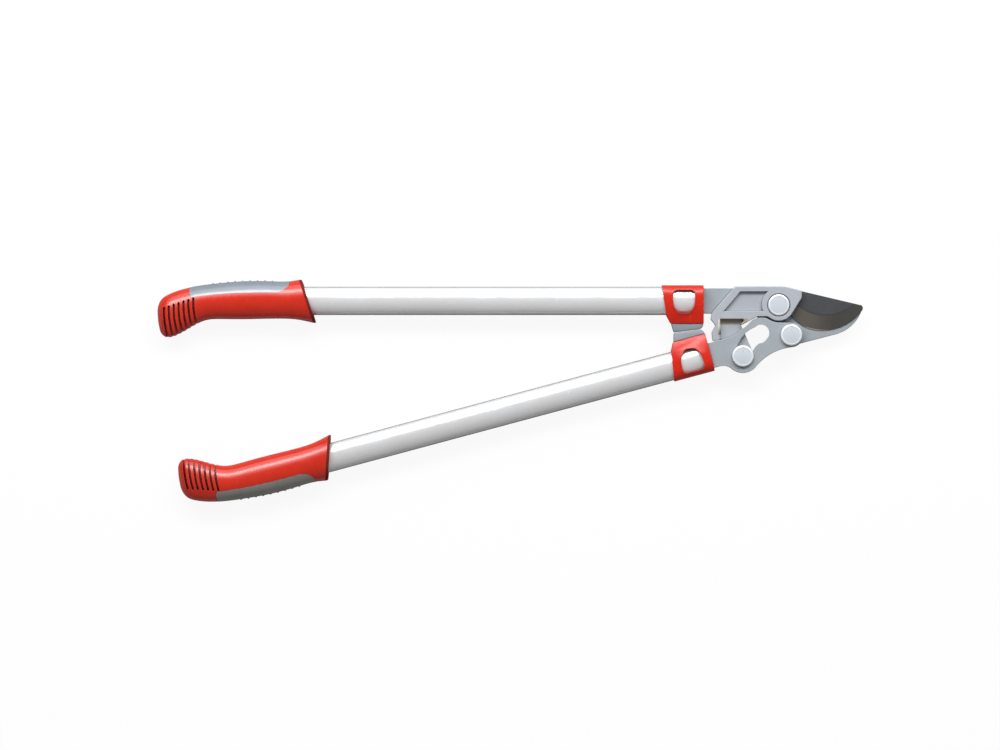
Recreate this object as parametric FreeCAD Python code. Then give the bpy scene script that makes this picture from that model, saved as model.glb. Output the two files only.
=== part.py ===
import FreeCAD, Part
import math
import os

from FreeCAD import Vector

# Bypass loppers with a slot-and-pin power head, lying flat with the jaws shut.
# +X runs from the grips to the jaws, +Z up through the plates. The origin is on the main
# pivot's axis, at the end face of its bolt head, which is one of the three resting points.
# The hook plate and the upper handle stay still. The lever plate and the lower handle turn
# about the lever pivot, and the slot in the lever plate drives a pin on the blade's carrier.

# ---- Pivots, as seen from above with the jaws shut ------------------------------------
MAIN_PIVOT = (0.0, 0.0)
LEVER_PIVOT = (13.4, -31.8)
DRIVE_PIN = (-38.1, -54.2)
BLADE_RATIO = 0.52  # degrees the blade turns for each degree of the lever
LEVER_OPEN = 85.0  # degrees from shut to fully open

# ---- Handles --------------------------------------------------------------------------
HANDLE_ANGLE = 15.0  # between the two handle axes with the jaws shut
HANDLE_CROSS_X = 145.0  # where the two axes would meet, ahead of the main pivot
HANDLE_AXIS_Y = 4.4  # the upper handle's axis beside the main pivot
STOP_GAP = 0.3  # between the two bumpers, jaws shut

TUBE_HEIGHT = 30.0
TUBE_DEPTH = 20.0
TUBE_WALL = 1.8
TUBE_HEAD_X = -86.5
TUBE_LENGTH = 515.0

TANG_SHY = 1.5  # how far each edge of the tang stays inside the tube's outline
NECK_GAP = 1.4  # between the tang's neck and the tube's bore
TANG_IN_TUBE = 46.0
JOG_LEAD = 7.0  # from the tube's end to where the flat plate begins
JOG_RUN = 6.5
PLUG_LENGTH = 44.0
PLUG_GAP = 0.1
PIN_RADIUS = 2.0
PIN_BACK = (8.1, 30.5)  # the two tang pins, from the tube's head end
PIN_IN = 10.0  # in from the tube's outer or inner side
UPPER_FIRST_PIN = -1  # the pin nearer the head: +1 on the outer side, -1 on the inner side
LOWER_FIRST_PIN = 1
PIN_SINK = 0.05

# ---- Plates and layers ----------------------------------------------------------------
PLATE_T = 5.0
BLADE_T = 4.5
LAYER_GAP = 0.2
EDGE_BREAK = 0.5  # chamfer round the plates' outlines
FIT = 0.05  # radial clearance of a shaft in its hole

# ---- Hook plate -----------------------------------------------------------------------
THROAT_CENTRE = (48.6, 38.6)
THROAT_R = 57.0
THROAT_FILLET = 4.0
BELLY_CENTRE = (50.5, 8.2)
BELLY_R = 40.7
NOSE_R = 1.2
HOOK_EYE_R = 11.4
HOOK_BACK_R = 30.0
HOOK_BACK_TOP = (-21.9, -13.6)
HOOK_BACK_LEAN = 2.5

# ---- Lever plate ----------------------------------------------------------------------
LEVER_EYE_R = 13.0
PIN_BOSS_R = 18.0
WAIST_R = 57.0
HEEL_R = 13.0
NECK_R = 66.0
RELIEF_R = 18.5  # hollow that clears the carrier's boss
SLOT_HALF_WIDTH = 8.8
SLOT_END = (-18.5, -29.6)
SLOT_OVERRUN = 1.5  # degrees of lever travel that the slot leaves past the shut stop
SLOT_STEPS = 8

# ---- Blade ----------------------------------------------------------------------------
BLADE_ROOT_X = -40.0
BLADE_ROOT_TOP = 17.5
BLADE_ROOT_BOTTOM = -6.0
BLADE_BOSS_R = 16.0
BLADE_SHOULDER_X = 8.0
SPINE_START = (24.0, 14.9)
SPINE_END = (88.2, -0.2)
BLADE_TIP = (89.8, -3.4)
EDGE_TIP = (87.8, -6.8)
EDGE_FRONT = (71.8, -20.1)
EDGE_BELLY = (44.5, -27.0)
EDGE_BACK = (27.2, -22.5)
EDGE_HEEL = (15.5, -12.6)
BEVEL_CENTRE = (49.6, 36.3)
BEVEL_START_R = 46.2
BEVEL_END_R = 64.5
EDGE_T = 0.5  # thickness left at the cutting edge

# ---- Blade carrier --------------------------------------------------------------------
CARRIER_PROUD = 1.0  # height of its rims over the lever plate
CARRIER_TOP_Y = 19.8
CARRIER_SLOPE_X = 6.0
CARRIER_SLOPE_R = 30.0
CARRIER_NOSE = ((24.7, 15.3, 2.4), (24.4, 7.5, 4.0))
CARRIER_BOSS_R = 16.7
BOSS_FILLET = 2.0
CARRIER_RIM_BREAK = 0.6
RECESS_R = 12.3
RECESS_FLOOR = 3.0  # metal between the blade and the cap's recess
PANEL_FLOOR = 2.2  # metal between the blade and the sunk panel
PANEL_RING_R = 17.5
PANEL_TOP_Y = 14.5
PANEL_BOTTOM_Y = -6.6
PANEL_LEFT_TOP = -40.9
PANEL_LEFT_BOTTOM = -58.6
PANEL_RIGHT_TOP = -11.0
POCKET_GAP = 0.1
TAIL_DISC_R = 11.9
TAIL_CORNER = (-39.8, -21.6)
TAIL_SHOULDER = (-22.3, -12.2)
GUSSET_TIP = (-40.3, -19.6)
RIB_LOW_Y = -15.0
RIB_END_X = -34.0
LEG_INNER_X = -62.4
LEG_FOOT_X = -70.3
FOOT_GAP = 0.5  # between the leg's foot and the lever tang, jaws shut
FOOT_R = 2.0
STRUT_TOP_X = -46.4
# The leg's free edge above its foot: two rounded lobes with a notch between them.
LEG_EDGE = (
    (-71.0, -29.0, 1.5),
    (-67.0, -21.6, 2.5),
    (-72.2, -15.2, 2.5),
    (-70.8, -8.4, 3.0),
)

# ---- Bolts, caps and bushes -----------------------------------------------------------
MAIN_BOLT_R = 6.0
MAIN_HEAD_FLATS = 19.0
WASHER_R = 12.0
WASHER_T = 1.5
BUSH_R = 7.8
LEVER_BOLT_R = 5.0
LEVER_HEAD_FLATS = 16.0
LEVER_HEAD_H = 5.0
SPACER_R = 9.5
DRIVE_BOLT_R = 4.0
DRIVE_HEAD_R = 8.0
DRIVE_HEAD_H = 2.4
DRIVE_BUSH_R = 8.5
CAP_R = 11.5
CAP_RIM = 1.4
CAP_SHOULDER = 2.7
CAP_DOME = 0.5
CAP_BORE_DEPTH = 2.8
FACE_GAP = 0.1  # between a cap or spacer and the plate that turns under it
SCREW_R = 2.0
SCREW_HEAD_R = 4.0
SCREW_HEAD_H = 2.0
SCREW_Y = (11.0, 0.0)
SCREW_X = -31.0

# ---- Collar on each tube --------------------------------------------------------------
# Lead is how far a piece reaches ahead of the tube's end, and back is how far behind it.
COLLAR_LEAD = 6.9
COLLAR_BACK = (37.7, 35.9, 32.9, 27.6)  # tail edge, from the outer side inward
COLLAR_SKIN = 1.7  # cover over the tube's height
COLLAR_SIDE = 2.0  # cover over the tube's depth
COLLAR_INNER_Y = -24.1
COLLAR_INNER_DEPTH = 17.0
COLLAR_GAP = 0.1
WINDOW_BACK = (25.9, 2.3)
WINDOW_OUTER = 3.4  # from the tube's outer side
WINDOW_INNER = 1.7  # from the tube's inner side
WINDOW_TAPER = 2.2
WINDOW_CORNER = 3.0
BUMPER_LEAD = 6.1
BUMPER_BACK = 25.1
BUMPER_ROUND = 3.0
BUMPER_LIP = 1.1
BUMPER_DEPTH = 15.0

# ---- Grips ----------------------------------------------------------------------------
GRIP_ON_TUBE = 103.0  # from the grip's mouth to the tube's butt end, along the axis
# Cross-sections from the mouth to the butt. Each gives how far back its outer and inner
# points lie, and how much plastic stands over the tube: outside, inside and at the sides.
GRIP_SECTIONS = (
    (7.7, -7.7, 7.8, 8.7, 7.0),
    (16.0, 4.0, 6.6, 6.4, 5.4),
    (26.0, 17.5, 5.0, 3.8, 4.4),
    (48.0, 42.0, 6.3, 3.9, 4.8),
    (73.6, 68.3, 6.0, 4.7, 5.2),
    (96.0, 92.0, 3.8, 4.4, 4.8),
    (111.8, 107.0, 2.0, 4.2, 4.4),
    (124.6, 117.5, 0.0, 8.2, 4.2),
    (137.0, 129.0, -2.9, 15.3, 4.0),
    (148.0, 140.0, -7.0, 21.6, 3.4),
    (156.5, 148.0, -11.5, 24.2, 2.0),
    (160.5, 154.0, -18.5, 23.6, -2.0),
    (161.5, 158.5, -26.0, 18.0, -6.5),
)
GRIP_BORE_GAP = 0.1
MOUTH_WALL = 2.2  # of the flared mouth, round its recess
# The soft insert's edge: how far back from the mouth, and how far in from the tube's outer side.
INSERT_DEPTH = 2.0
INSERT_BUTT = 126.8
INSERT_CORNER = 3.0
INSERT_EDGE_BUTT = (124.5, 10.8)
INSERT_EDGE_MID = (76.5, 6.6)
INSERT_EDGE_MOUTH = (35.5, 6.4)
INSERT_RUN_OUT = (25.5, 3.2)
INSERT_HEAD = (20.1, -4.0)
RIB_COUNT = 9
RIB_PITCH = 7.9
RIB_FIRST = 102.3
RIB_R = 1.4
RIB_BEND_R = 8.0
RIB_SWEEP = 80.0
RIB_PROUD = 0.8
GROOVE_COUNT = 7
GROOVE_PITCH = 5.2
GROOVE_FIRST = 153.7
GROOVE_WIDTH = 1.5
GROOVE_DEPTH = 2.2
GROOVE_LEAN = 9.0  # degrees from square to the tube
GROOVE_TOP_BUTT = -7.6
GROOVE_TOP_MOUTH = 2.6

# ---- Places that follow from the sizes above ------------------------------------------
TANG_HEIGHT = TUBE_HEIGHT - 2 * TANG_SHY
TANG_NECK = TUBE_HEIGHT - 2 * (TUBE_WALL + NECK_GAP)
PIN_OFF_AXIS = TUBE_HEIGHT / 2 - PIN_IN
JOG_HEAD_X = TUBE_HEAD_X + JOG_LEAD
COLLAR_HEAD_X = TUBE_HEAD_X + COLLAR_LEAD
TUBE_BUTT_X = TUBE_HEAD_X - TUBE_LENGTH
GRIP_X = TUBE_BUTT_X + GRIP_ON_TUBE
MID_Z = TUBE_DEPTH / 2 + GRIP_SECTIONS[0][4]
BLADE_Z = MID_Z - BLADE_T / 2
HOOK_Z = BLADE_Z - LAYER_GAP - PLATE_T
LEVER_Z = BLADE_Z + BLADE_T + LAYER_GAP
LEVER_TOP = LEVER_Z + PLATE_T
CARRIER_TOP = LEVER_TOP + CARRIER_PROUD
RECESS_Z = BLADE_Z + BLADE_T + RECESS_FLOOR
MAIN_CAP_Z = RECESS_Z + FACE_GAP
SIDE_CAP_Z = LEVER_TOP + FACE_GAP


# ---- Plane geometry -------------------------------------------------------------------
def polar(centre, radius, degrees):
    """The point at a distance and a direction from a centre."""
    turn = math.radians(degrees)
    return (centre[0] + radius * math.cos(turn), centre[1] + radius * math.sin(turn))


def direction(start, end):
    """The direction from one point to another, in degrees."""
    return math.degrees(math.atan2(end[1] - start[1], end[0] - start[0]))


def arc_about(centre, start, end, turn):
    """An outline's step along an arc: turn is +1 anticlockwise and -1 clockwise."""
    first = direction(centre, start)
    sweep = (turn * (direction(centre, end) - first)) % 360
    return (polar(centre, math.dist(centre, start), first + turn * sweep / 2), end)


def circles_meet(centre_a, radius_a, centre_b, radius_b, side):
    """Where two circles cross: side is +1 left of the line from a to b, and -1 right."""
    span = math.dist(centre_a, centre_b)
    along = (radius_a**2 - radius_b**2 + span**2) / (2 * span)
    across = math.sqrt(radius_a**2 - along**2)
    foot = polar(centre_a, along, direction(centre_a, centre_b))
    return polar(foot, across, direction(centre_a, centre_b) + side * 90)


def tangent_point(point, centre, radius, side):
    """Where a line from a point touches a circle: side is +1 to keep the centre on its left."""
    lean = math.degrees(math.asin(radius / math.dist(point, centre)))
    heading = direction(point, centre) - side * lean
    return polar(centre, radius, heading - side * 90)


def line_meets_circle(point, degrees, centre, radius, ahead):
    """Where a line crosses a circle: ahead is +1 for the far crossing, and -1 for the near."""
    turn = math.radians(degrees)
    to_centre = (centre[0] - point[0], centre[1] - point[1])
    along = to_centre[0] * math.cos(turn) + to_centre[1] * math.sin(turn)
    off = to_centre[1] * math.cos(turn) - to_centre[0] * math.sin(turn)
    return polar(point, along + ahead * math.sqrt(radius**2 - off**2), degrees)


def flat(point, z=0.0):
    return Vector(point[0], point[1], z)


def round_corner(before, corner, after, radius):
    """Where a rounded corner starts, its middle, and where it ends."""
    back, ahead = direction(corner, before), direction(corner, after)
    half = ((ahead - back) % 360) / 2
    if half > 90:
        half -= 180
    reach = radius / math.tan(math.radians(abs(half)))
    centre = polar(corner, radius / math.sin(math.radians(abs(half))), back + half)
    middle = polar(centre, radius, direction(centre, corner))
    return polar(corner, reach, back), middle, polar(corner, reach, ahead)


def outline(start, steps):
    """A flat face. A step is a corner, a corner with its radius, or an arc's middle and end."""
    edges = []
    here = start
    for step, after in zip(steps, list(steps[1:]) + [start]):
        if isinstance(step[0], tuple):
            middle, end = step
            edges.append(Part.Arc(flat(here), flat(middle), flat(end)).toShape())
        elif len(step) == 3:
            first, middle, end = round_corner(here, step[:2], after[:2], step[2])
            edges.append(Part.makeLine(flat(here), flat(first)))
            edges.append(Part.Arc(flat(first), flat(middle), flat(end)).toShape())
        else:
            end = step
            edges.append(Part.makeLine(flat(here), flat(end)))
        here = end
    if math.dist(here, start) > 1e-6:
        edges.append(Part.makeLine(flat(here), flat(start)))
    return Part.Face(Part.Wire(edges))


def slab(face, bottom, top):
    """A flat face raised into a plate between two heights."""
    return face.translated(Vector(0, 0, bottom)).extrude(Vector(0, 0, top - bottom))


def cylinder(centre, radius, bottom, top):
    return Part.makeCylinder(radius, top - bottom, flat(centre, bottom))


def rim_edges(shape, z):
    """The outer edges of the shape's flat face at a height."""
    faces = [
        face
        for face in shape.Faces
        if abs(face.BoundBox.ZMin - z) < 1e-6 and abs(face.BoundBox.ZMax - z) < 1e-6
    ]
    return [edge for face in faces for edge in face.OuterWire.Edges]


def broken_slab(face, bottom, top, size, open_x=None):
    """A plate with both rims chamfered, except along a straight end where more metal joins."""
    plate = slab(face, bottom, top)
    edges = rim_edges(plate, bottom) + rim_edges(plate, top)
    if open_x is not None:
        edges = [edge for edge in edges if not lies_on(edge, open_x)]
    return plate.makeChamfer(size, edges)


def lies_on(edge, line):
    """Whether an edge lies along a line, given by two points."""
    a, b = line
    length = math.dist(a, b)
    for vertex in edge.Vertexes:
        across = (b[0] - a[0]) * (vertex.Y - a[1]) - (b[1] - a[1]) * (vertex.X - a[0])
        if abs(across) / length > 1e-4:
            return False
    return True


# ---- Handle frame ---------------------------------------------------------------------
# A handle's pieces are made on the X axis, with the outer side at +Y and the mid plane at
# z = 0. The lower handle is the same handle turned over and swung in by the handle angle.
def on_upper(shape):
    return shape.translated(Vector(0, HANDLE_AXIS_Y, MID_Z))


def on_lower(shape):
    placed = on_upper(shape)
    placed.rotate(Vector(0, HANDLE_AXIS_Y, MID_Z), Vector(1, 0, 0), 180)
    placed.rotate(Vector(HANDLE_CROSS_X, HANDLE_AXIS_Y, MID_Z), Vector(0, 0, 1), HANDLE_ANGLE)
    return placed


def lower_plan(x, outward):
    """A point of the lower handle in plan: x along the handle, and how far outward."""
    cross = (HANDLE_CROSS_X, HANDLE_AXIS_Y)
    on_axis = polar(cross, HANDLE_CROSS_X - x, 180 + HANDLE_ANGLE)
    return polar(on_axis, outward, HANDLE_ANGLE - 90)


def oval(height, depth, x, length):
    """A bar of oval section that runs back from x."""
    major, minor = max(height, depth) / 2, min(height, depth) / 2
    curve = Part.Ellipse(Vector(x, major, 0), Vector(x, 0, minor), Vector(x, 0, 0))
    return Part.Face(Part.Wire(curve.toShape())).extrude(Vector(-length, 0, 0))


def tube(first_pin):
    """The oval aluminium tube."""
    bore = oval(TUBE_HEIGHT - 2 * TUBE_WALL, TUBE_DEPTH - 2 * TUBE_WALL, TUBE_HEAD_X, TUBE_LENGTH)
    body = oval(TUBE_HEIGHT, TUBE_DEPTH, TUBE_HEAD_X, TUBE_LENGTH).cut(bore)
    for hole in pin_holes(first_pin):
        body = body.cut(hole)
    return body


def pin_places(first_pin):
    """The two tang pins. The first shows in the collar's window: +1 is the outer side."""
    return (
        (TUBE_HEAD_X - PIN_BACK[0], first_pin * PIN_OFF_AXIS),
        (TUBE_HEAD_X - PIN_BACK[1], -first_pin * PIN_OFF_AXIS),
    )


def pin_holes(first_pin):
    deep = TUBE_DEPTH
    places = pin_places(first_pin)
    return [cylinder(place, PIN_RADIUS + FIT, -deep, deep) for place in places]


def tang_pins(first_pin):
    """Two pins through tube, plug and tang, with their ends just below the tube's skin."""
    skin = TUBE_DEPTH / 2 * math.sqrt(1 - (2 * (PIN_OFF_AXIS + PIN_RADIUS) / TUBE_HEIGHT) ** 2)
    half = skin - PIN_SINK
    places = pin_places(first_pin)
    return Part.Compound([cylinder(place, PIN_RADIUS, -half, half) for place in places])


def tang(first_pin):
    """The tang: a crank down from the plates' layer to mid plane, and a neck in the tube."""
    layer = HOOK_Z - MID_Z
    half = PLATE_T / 2
    crank_end = JOG_HEAD_X - JOG_RUN
    side = (
        (JOG_HEAD_X, layer),
        (JOG_HEAD_X, layer + PLATE_T),
        (crank_end, half),
        (TUBE_HEAD_X, half),
        (TUBE_HEAD_X, -half),
        (crank_end, -half),
    )
    wire = Part.makePolygon([Vector(x, -TANG_HEIGHT / 2, z) for x, z in side + side[:1]])
    crank = Part.Face(wire).extrude(Vector(0, TANG_HEIGHT, 0))
    corner = Vector(TUBE_HEAD_X - TANG_IN_TUBE, -TANG_NECK / 2, -half)
    neck = Part.makeBox(TANG_IN_TUBE, TANG_NECK, PLATE_T, corner)
    whole = crank.fuse(neck).removeSplitter()
    for hole in pin_holes(first_pin):
        whole = whole.cut(hole)
    return whole


def tang_plug(first_pin):
    """The plastic plug that centres the tang in the tube."""
    inner_height = TUBE_HEIGHT - 2 * (TUBE_WALL + PLUG_GAP)
    inner_depth = TUBE_DEPTH - 2 * (TUBE_WALL + PLUG_GAP)
    plug = oval(inner_height, inner_depth, TUBE_HEAD_X, PLUG_LENGTH)
    corner = Vector(
        TUBE_HEAD_X - TANG_IN_TUBE - 1, -TANG_NECK / 2 - PLUG_GAP, -PLATE_T / 2 - PLUG_GAP
    )
    slot = Part.makeBox(
        TANG_IN_TUBE + 2, TANG_NECK + 2 * PLUG_GAP, PLATE_T + 2 * PLUG_GAP, corner
    )
    plug = plug.cut(slot)
    for hole in pin_holes(first_pin):
        plug = plug.cut(hole)
    return plug


# ---- Collar and bumper ----------------------------------------------------------------
def stop_line_y(x):
    """The line halfway between the two handles, seen from the upper handle's axis."""
    return -(HANDLE_CROSS_X - x) * math.tan(math.radians(HANDLE_ANGLE / 2))


def collar_section():
    """The collar's cross-section: round over the tube, drawn in towards the bumper."""
    top = TUBE_HEIGHT / 2 + COLLAR_SKIN
    side = TUBE_DEPTH / 2 + COLLAR_SIDE
    foot = COLLAR_INNER_DEPTH / 2
    shoulder = -TUBE_HEIGHT / 6
    x = COLLAR_HEAD_X
    over = Part.Ellipse(Vector(x, top, 0), Vector(x, 0, side), Vector(x, 0, 0))
    arc = Part.Arc(over, -math.pi / 2, math.pi / 2).toShape()
    low, high = arc.Vertexes[0].Point, arc.Vertexes[-1].Point
    sign = 1 if high.z > 0 else -1
    corners = [
        high,
        Vector(x, shoulder, sign * side),
        Vector(x, COLLAR_INNER_Y, sign * foot),
        Vector(x, COLLAR_INNER_Y, -sign * foot),
        Vector(x, shoulder, -sign * side),
        low,
    ]
    lines = [Part.makeLine(a, b) for a, b in zip(corners, corners[1:])]
    return Part.Face(Part.Wire([arc] + lines))


def collar_outline():
    top = TUBE_HEIGHT / 2 + COLLAR_SKIN
    outer, shoulder, throat, inner = [TUBE_HEAD_X - back for back in COLLAR_BACK]
    return outline(
        (COLLAR_HEAD_X, top),
        [
            (outer, top),
            (shoulder, top / 4),
            (throat, -TUBE_HEIGHT / 2),
            (inner, COLLAR_INNER_Y),
            (COLLAR_HEAD_X, COLLAR_INNER_Y),
        ],
    )


def window_outline():
    """The D-shaped window: flat towards the outer side, round towards the bumper."""
    left, right = [TUBE_HEAD_X - back for back in WINDOW_BACK]
    top = TUBE_HEIGHT / 2 - WINDOW_OUTER
    bottom = WINDOW_INNER - TUBE_HEIGHT / 2
    middle = (left + right) / 2
    round_y = bottom + (right - left) / 2 - WINDOW_TAPER
    return outline(
        (middle, top),
        [
            (left, top, WINDOW_CORNER),
            (left + WINDOW_TAPER, round_y),
            ((middle, bottom), (right - WINDOW_TAPER, round_y)),
            (right, top, WINDOW_CORNER),
        ],
    )


def collar():
    """The moulded collar over the joint of tube and tang, with a window on each face."""
    deep = TUBE_DEPTH
    length = COLLAR_LEAD + max(COLLAR_BACK)
    body = collar_section().extrude(Vector(-length, 0, 0))
    body = body.common(slab(collar_outline(), -deep, deep))
    bore_height = TUBE_HEIGHT + 2 * COLLAR_GAP
    bore_depth = TUBE_DEPTH + 2 * COLLAR_GAP
    body = body.cut(oval(bore_height, bore_depth, TUBE_HEAD_X + COLLAR_GAP, TUBE_LENGTH))
    low = HOOK_Z - MID_Z - COLLAR_GAP
    high = PLATE_T / 2 + COLLAR_GAP
    mouth_height = TANG_HEIGHT + 2 * COLLAR_GAP
    corner = Vector(TUBE_HEAD_X, -mouth_height / 2, low)
    mouth = Part.makeBox(COLLAR_HEAD_X - TUBE_HEAD_X + 1, mouth_height, high - low, corner)
    body = body.cut(mouth)
    return body.cut(slab(window_outline(), -deep, deep))


def bumper():
    """The soft stop under the collar. Its face lies on the line between the handles."""
    inner_tail = TUBE_HEAD_X - COLLAR_BACK[3]
    tail = TUBE_HEAD_X - BUMPER_BACK
    head = TUBE_HEAD_X + BUMPER_LEAD

    def face_y(x):
        return stop_line_y(x) + STOP_GAP / 2

    face = outline(
        (inner_tail, COLLAR_INNER_Y),
        [
            (tail, face_y(tail) + BUMPER_LIP),
            (tail + BUMPER_LIP, face_y(tail + BUMPER_LIP)),
            (head - BUMPER_ROUND, face_y(head - BUMPER_ROUND)),
            (
                (head - BUMPER_ROUND * 0.3, face_y(head) + BUMPER_ROUND * 0.3),
                (head, face_y(head) + BUMPER_ROUND),
            ),
            (COLLAR_HEAD_X, COLLAR_INNER_Y),
        ],
    )
    return slab(face, -BUMPER_DEPTH / 2, BUMPER_DEPTH / 2)


# ---- Grip -----------------------------------------------------------------------------
def grip_form(sections, skin=0.0):
    """The grip's outer form over some of its sections, or a skin's thickness further in."""
    rings = []
    for outer_back, inner_back, outer, inner, side in sections:
        top = Vector(GRIP_X - outer_back, TUBE_HEIGHT / 2 + outer - skin, 0)
        low = Vector(GRIP_X - inner_back, -TUBE_HEIGHT / 2 - inner + skin, 0)
        centre = (top + low) * 0.5
        half_depth = TUBE_DEPTH / 2 + side - skin
        if (top - low).Length / 2 <= half_depth or half_depth <= skin:
            continue
        ring = Part.Ellipse(top, centre + Vector(0, 0, half_depth), centre)
        rings.append(Part.Wire(ring.toShape()))
    return Part.makeLoft(rings, True)


def on_grip(back, inward):
    """A point in plan: back from the grip's mouth, and in from the tube's outer side."""
    return (GRIP_X - back, TUBE_HEIGHT / 2 - inward)


def insert_region():
    """The outline of the soft insert, on the grip's outer side."""
    clear = -2 * TUBE_HEIGHT
    return outline(
        on_grip(INSERT_BUTT, INSERT_EDGE_BUTT[1] - INSERT_CORNER),
        [
            on_grip(*INSERT_EDGE_BUTT),
            (on_grip(*INSERT_EDGE_MID), on_grip(*INSERT_EDGE_MOUTH)),
            (on_grip(*INSERT_RUN_OUT), on_grip(*INSERT_HEAD)),
            on_grip(INSERT_HEAD[0], clear),
            on_grip(INSERT_BUTT, clear),
        ],
    )


def insert_rib(form, x):
    """A bent bar across the insert. Both its ends run under the surface."""
    line = Part.makeLine(Vector(x, 0, 0), Vector(x, 2 * TUBE_HEIGHT, 0)).common(form)
    crest = max(vertex.Y for vertex in line.Vertexes)
    bar = Part.makeTorus(
        RIB_BEND_R, RIB_R, Vector(0, 0, 0), Vector(1, 0, 0), 0, 360, RIB_SWEEP
    )
    bar.rotate(Vector(0, 0, 0), Vector(1, 0, 0), -90 - RIB_SWEEP / 2)
    return bar.translated(Vector(x, crest + RIB_PROUD - RIB_BEND_R - RIB_R, 0))


def grip_insert(form):
    """The soft insert: a skin of the grip's outer side, with its row of ribs."""
    inside = grip_form(GRIP_SECTIONS[1:10], INSERT_DEPTH)
    skin = form.common(slab(insert_region(), -TUBE_DEPTH, TUBE_DEPTH)).cut(inside)
    first = GRIP_X - RIB_FIRST
    ribs = [insert_rib(form, first + index * RIB_PITCH) for index in range(RIB_COUNT)]
    return skin, skin.fuse(Part.Compound(ribs).cut(inside))


def grip_grooves():
    """The grooves that run across the inner side of the butt, leaning with the mouth."""
    cuts = []
    for index in range(GROOVE_COUNT):
        x = GRIP_X - GROOVE_FIRST + index * GROOVE_PITCH
        share = index / (GROOVE_COUNT - 1)
        top = GROOVE_TOP_BUTT + share * (GROOVE_TOP_MOUTH - GROOVE_TOP_BUTT)
        corner = Vector(x - GROOVE_WIDTH / 2, top - 2 * TUBE_HEIGHT, -TUBE_DEPTH)
        cut = Part.makeBox(GROOVE_WIDTH, 2 * TUBE_HEIGHT, 2 * TUBE_DEPTH, corner)
        cut.rotate(Vector(x, top, 0), Vector(0, 0, 1), GROOVE_LEAN)
        cuts.append(cut)
    return Part.Compound(cuts).cut(grip_form(GRIP_SECTIONS[6:], GROOVE_DEPTH))


def grip_pieces():
    """The hard grip and its soft insert."""
    form = grip_form(GRIP_SECTIONS)
    skin, insert = grip_insert(form)
    bore_height = TUBE_HEIGHT + 2 * GRIP_BORE_GAP
    bore_depth = TUBE_DEPTH + 2 * GRIP_BORE_GAP
    bore_start = GRIP_X + TUBE_HEIGHT
    bore_length = bore_start - TUBE_BUTT_X + GRIP_BORE_GAP
    hard = form.cut(oval(bore_height, bore_depth, bore_start, bore_length))
    hard = hard.cut(grip_form(GRIP_SECTIONS[:2], MOUTH_WALL))
    return largest(hard.cut(skin).cut(grip_grooves())), largest(insert)


def largest(shape):
    return max(shape.Solids, key=lambda solid: solid.Volume)


# ---- Hook side ------------------------------------------------------------------------
def hook_outline():
    """The hook: tang bar, main boss, jaw and lever eye, all one plate."""
    half = TANG_HEIGHT / 2
    top = HANDLE_AXIS_Y + half
    bottom = HANDLE_AXIS_Y - half
    boss_r = top - MAIN_PIVOT[1]
    boss_top = (MAIN_PIVOT[0], top)
    fillet = circles_meet(
        MAIN_PIVOT, boss_r + THROAT_FILLET, THROAT_CENTRE, THROAT_R - THROAT_FILLET, -1
    )
    boss_end = polar(MAIN_PIVOT, boss_r, direction(MAIN_PIVOT, fillet))
    throat_start = polar(THROAT_CENTRE, THROAT_R, direction(THROAT_CENTRE, fillet))
    nose = circles_meet(THROAT_CENTRE, THROAT_R + NOSE_R, BELLY_CENTRE, BELLY_R - NOSE_R, 1)
    throat_end = polar(THROAT_CENTRE, THROAT_R, direction(THROAT_CENTRE, nose))
    belly_start = polar(BELLY_CENTRE, BELLY_R, direction(BELLY_CENTRE, nose))
    span = math.dist(BELLY_CENTRE, LEVER_PIVOT)
    lean = math.degrees(math.asin((BELLY_R - HOOK_EYE_R) / span))
    square = direction(BELLY_CENTRE, LEVER_PIVOT) + 90 - lean
    belly_end = polar(BELLY_CENTRE, BELLY_R, square)
    eye_start = polar(LEVER_PIVOT, HOOK_EYE_R, square)
    back = circles_meet(
        LEVER_PIVOT, HOOK_EYE_R + HOOK_BACK_R, HOOK_BACK_TOP, HOOK_BACK_R, 1
    )
    eye_end = polar(LEVER_PIVOT, HOOK_EYE_R, direction(LEVER_PIVOT, back))
    return outline(
        (JOG_HEAD_X, top),
        [
            boss_top,
            arc_about(MAIN_PIVOT, boss_top, boss_end, -1),
            arc_about(fillet, boss_end, throat_start, 1),
            arc_about(THROAT_CENTRE, throat_start, throat_end, 1),
            arc_about(nose, throat_end, belly_start, -1),
            arc_about(BELLY_CENTRE, belly_start, belly_end, -1),
            eye_start,
            arc_about(LEVER_PIVOT, eye_start, eye_end, -1),
            arc_about(back, eye_end, HOOK_BACK_TOP, 1),
            (HOOK_BACK_TOP[0] - HOOK_BACK_LEAN, bottom),
            (JOG_HEAD_X, bottom),
        ],
    )


def hook_plate():
    half = TANG_HEIGHT / 2
    joint = (
        (JOG_HEAD_X, HANDLE_AXIS_Y - half),
        (JOG_HEAD_X, HANDLE_AXIS_Y + half),
    )
    plate = broken_slab(hook_outline(), HOOK_Z, HOOK_Z + PLATE_T, EDGE_BREAK, joint)
    plate = plate.fuse(on_upper(tang(UPPER_FIRST_PIN))).removeSplitter()
    plate = plate.cut(cylinder(MAIN_PIVOT, MAIN_BOLT_R + FIT, 0, LEVER_TOP))
    return plate.cut(cylinder(LEVER_PIVOT, LEVER_BOLT_R + FIT, 0, LEVER_TOP))


# ---- Lever side -----------------------------------------------------------------------
def turned(point, centre, degrees):
    """A point turned about a centre."""
    return polar(centre, math.dist(centre, point), direction(centre, point) + degrees)


def pin_in_lever(lever_turn):
    """Where the drive pin stands, seen from the lever plate, after the lever has turned."""
    pin = turned(DRIVE_PIN, MAIN_PIVOT, BLADE_RATIO * lever_turn)
    return turned(pin, LEVER_PIVOT, -lever_turn)


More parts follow.
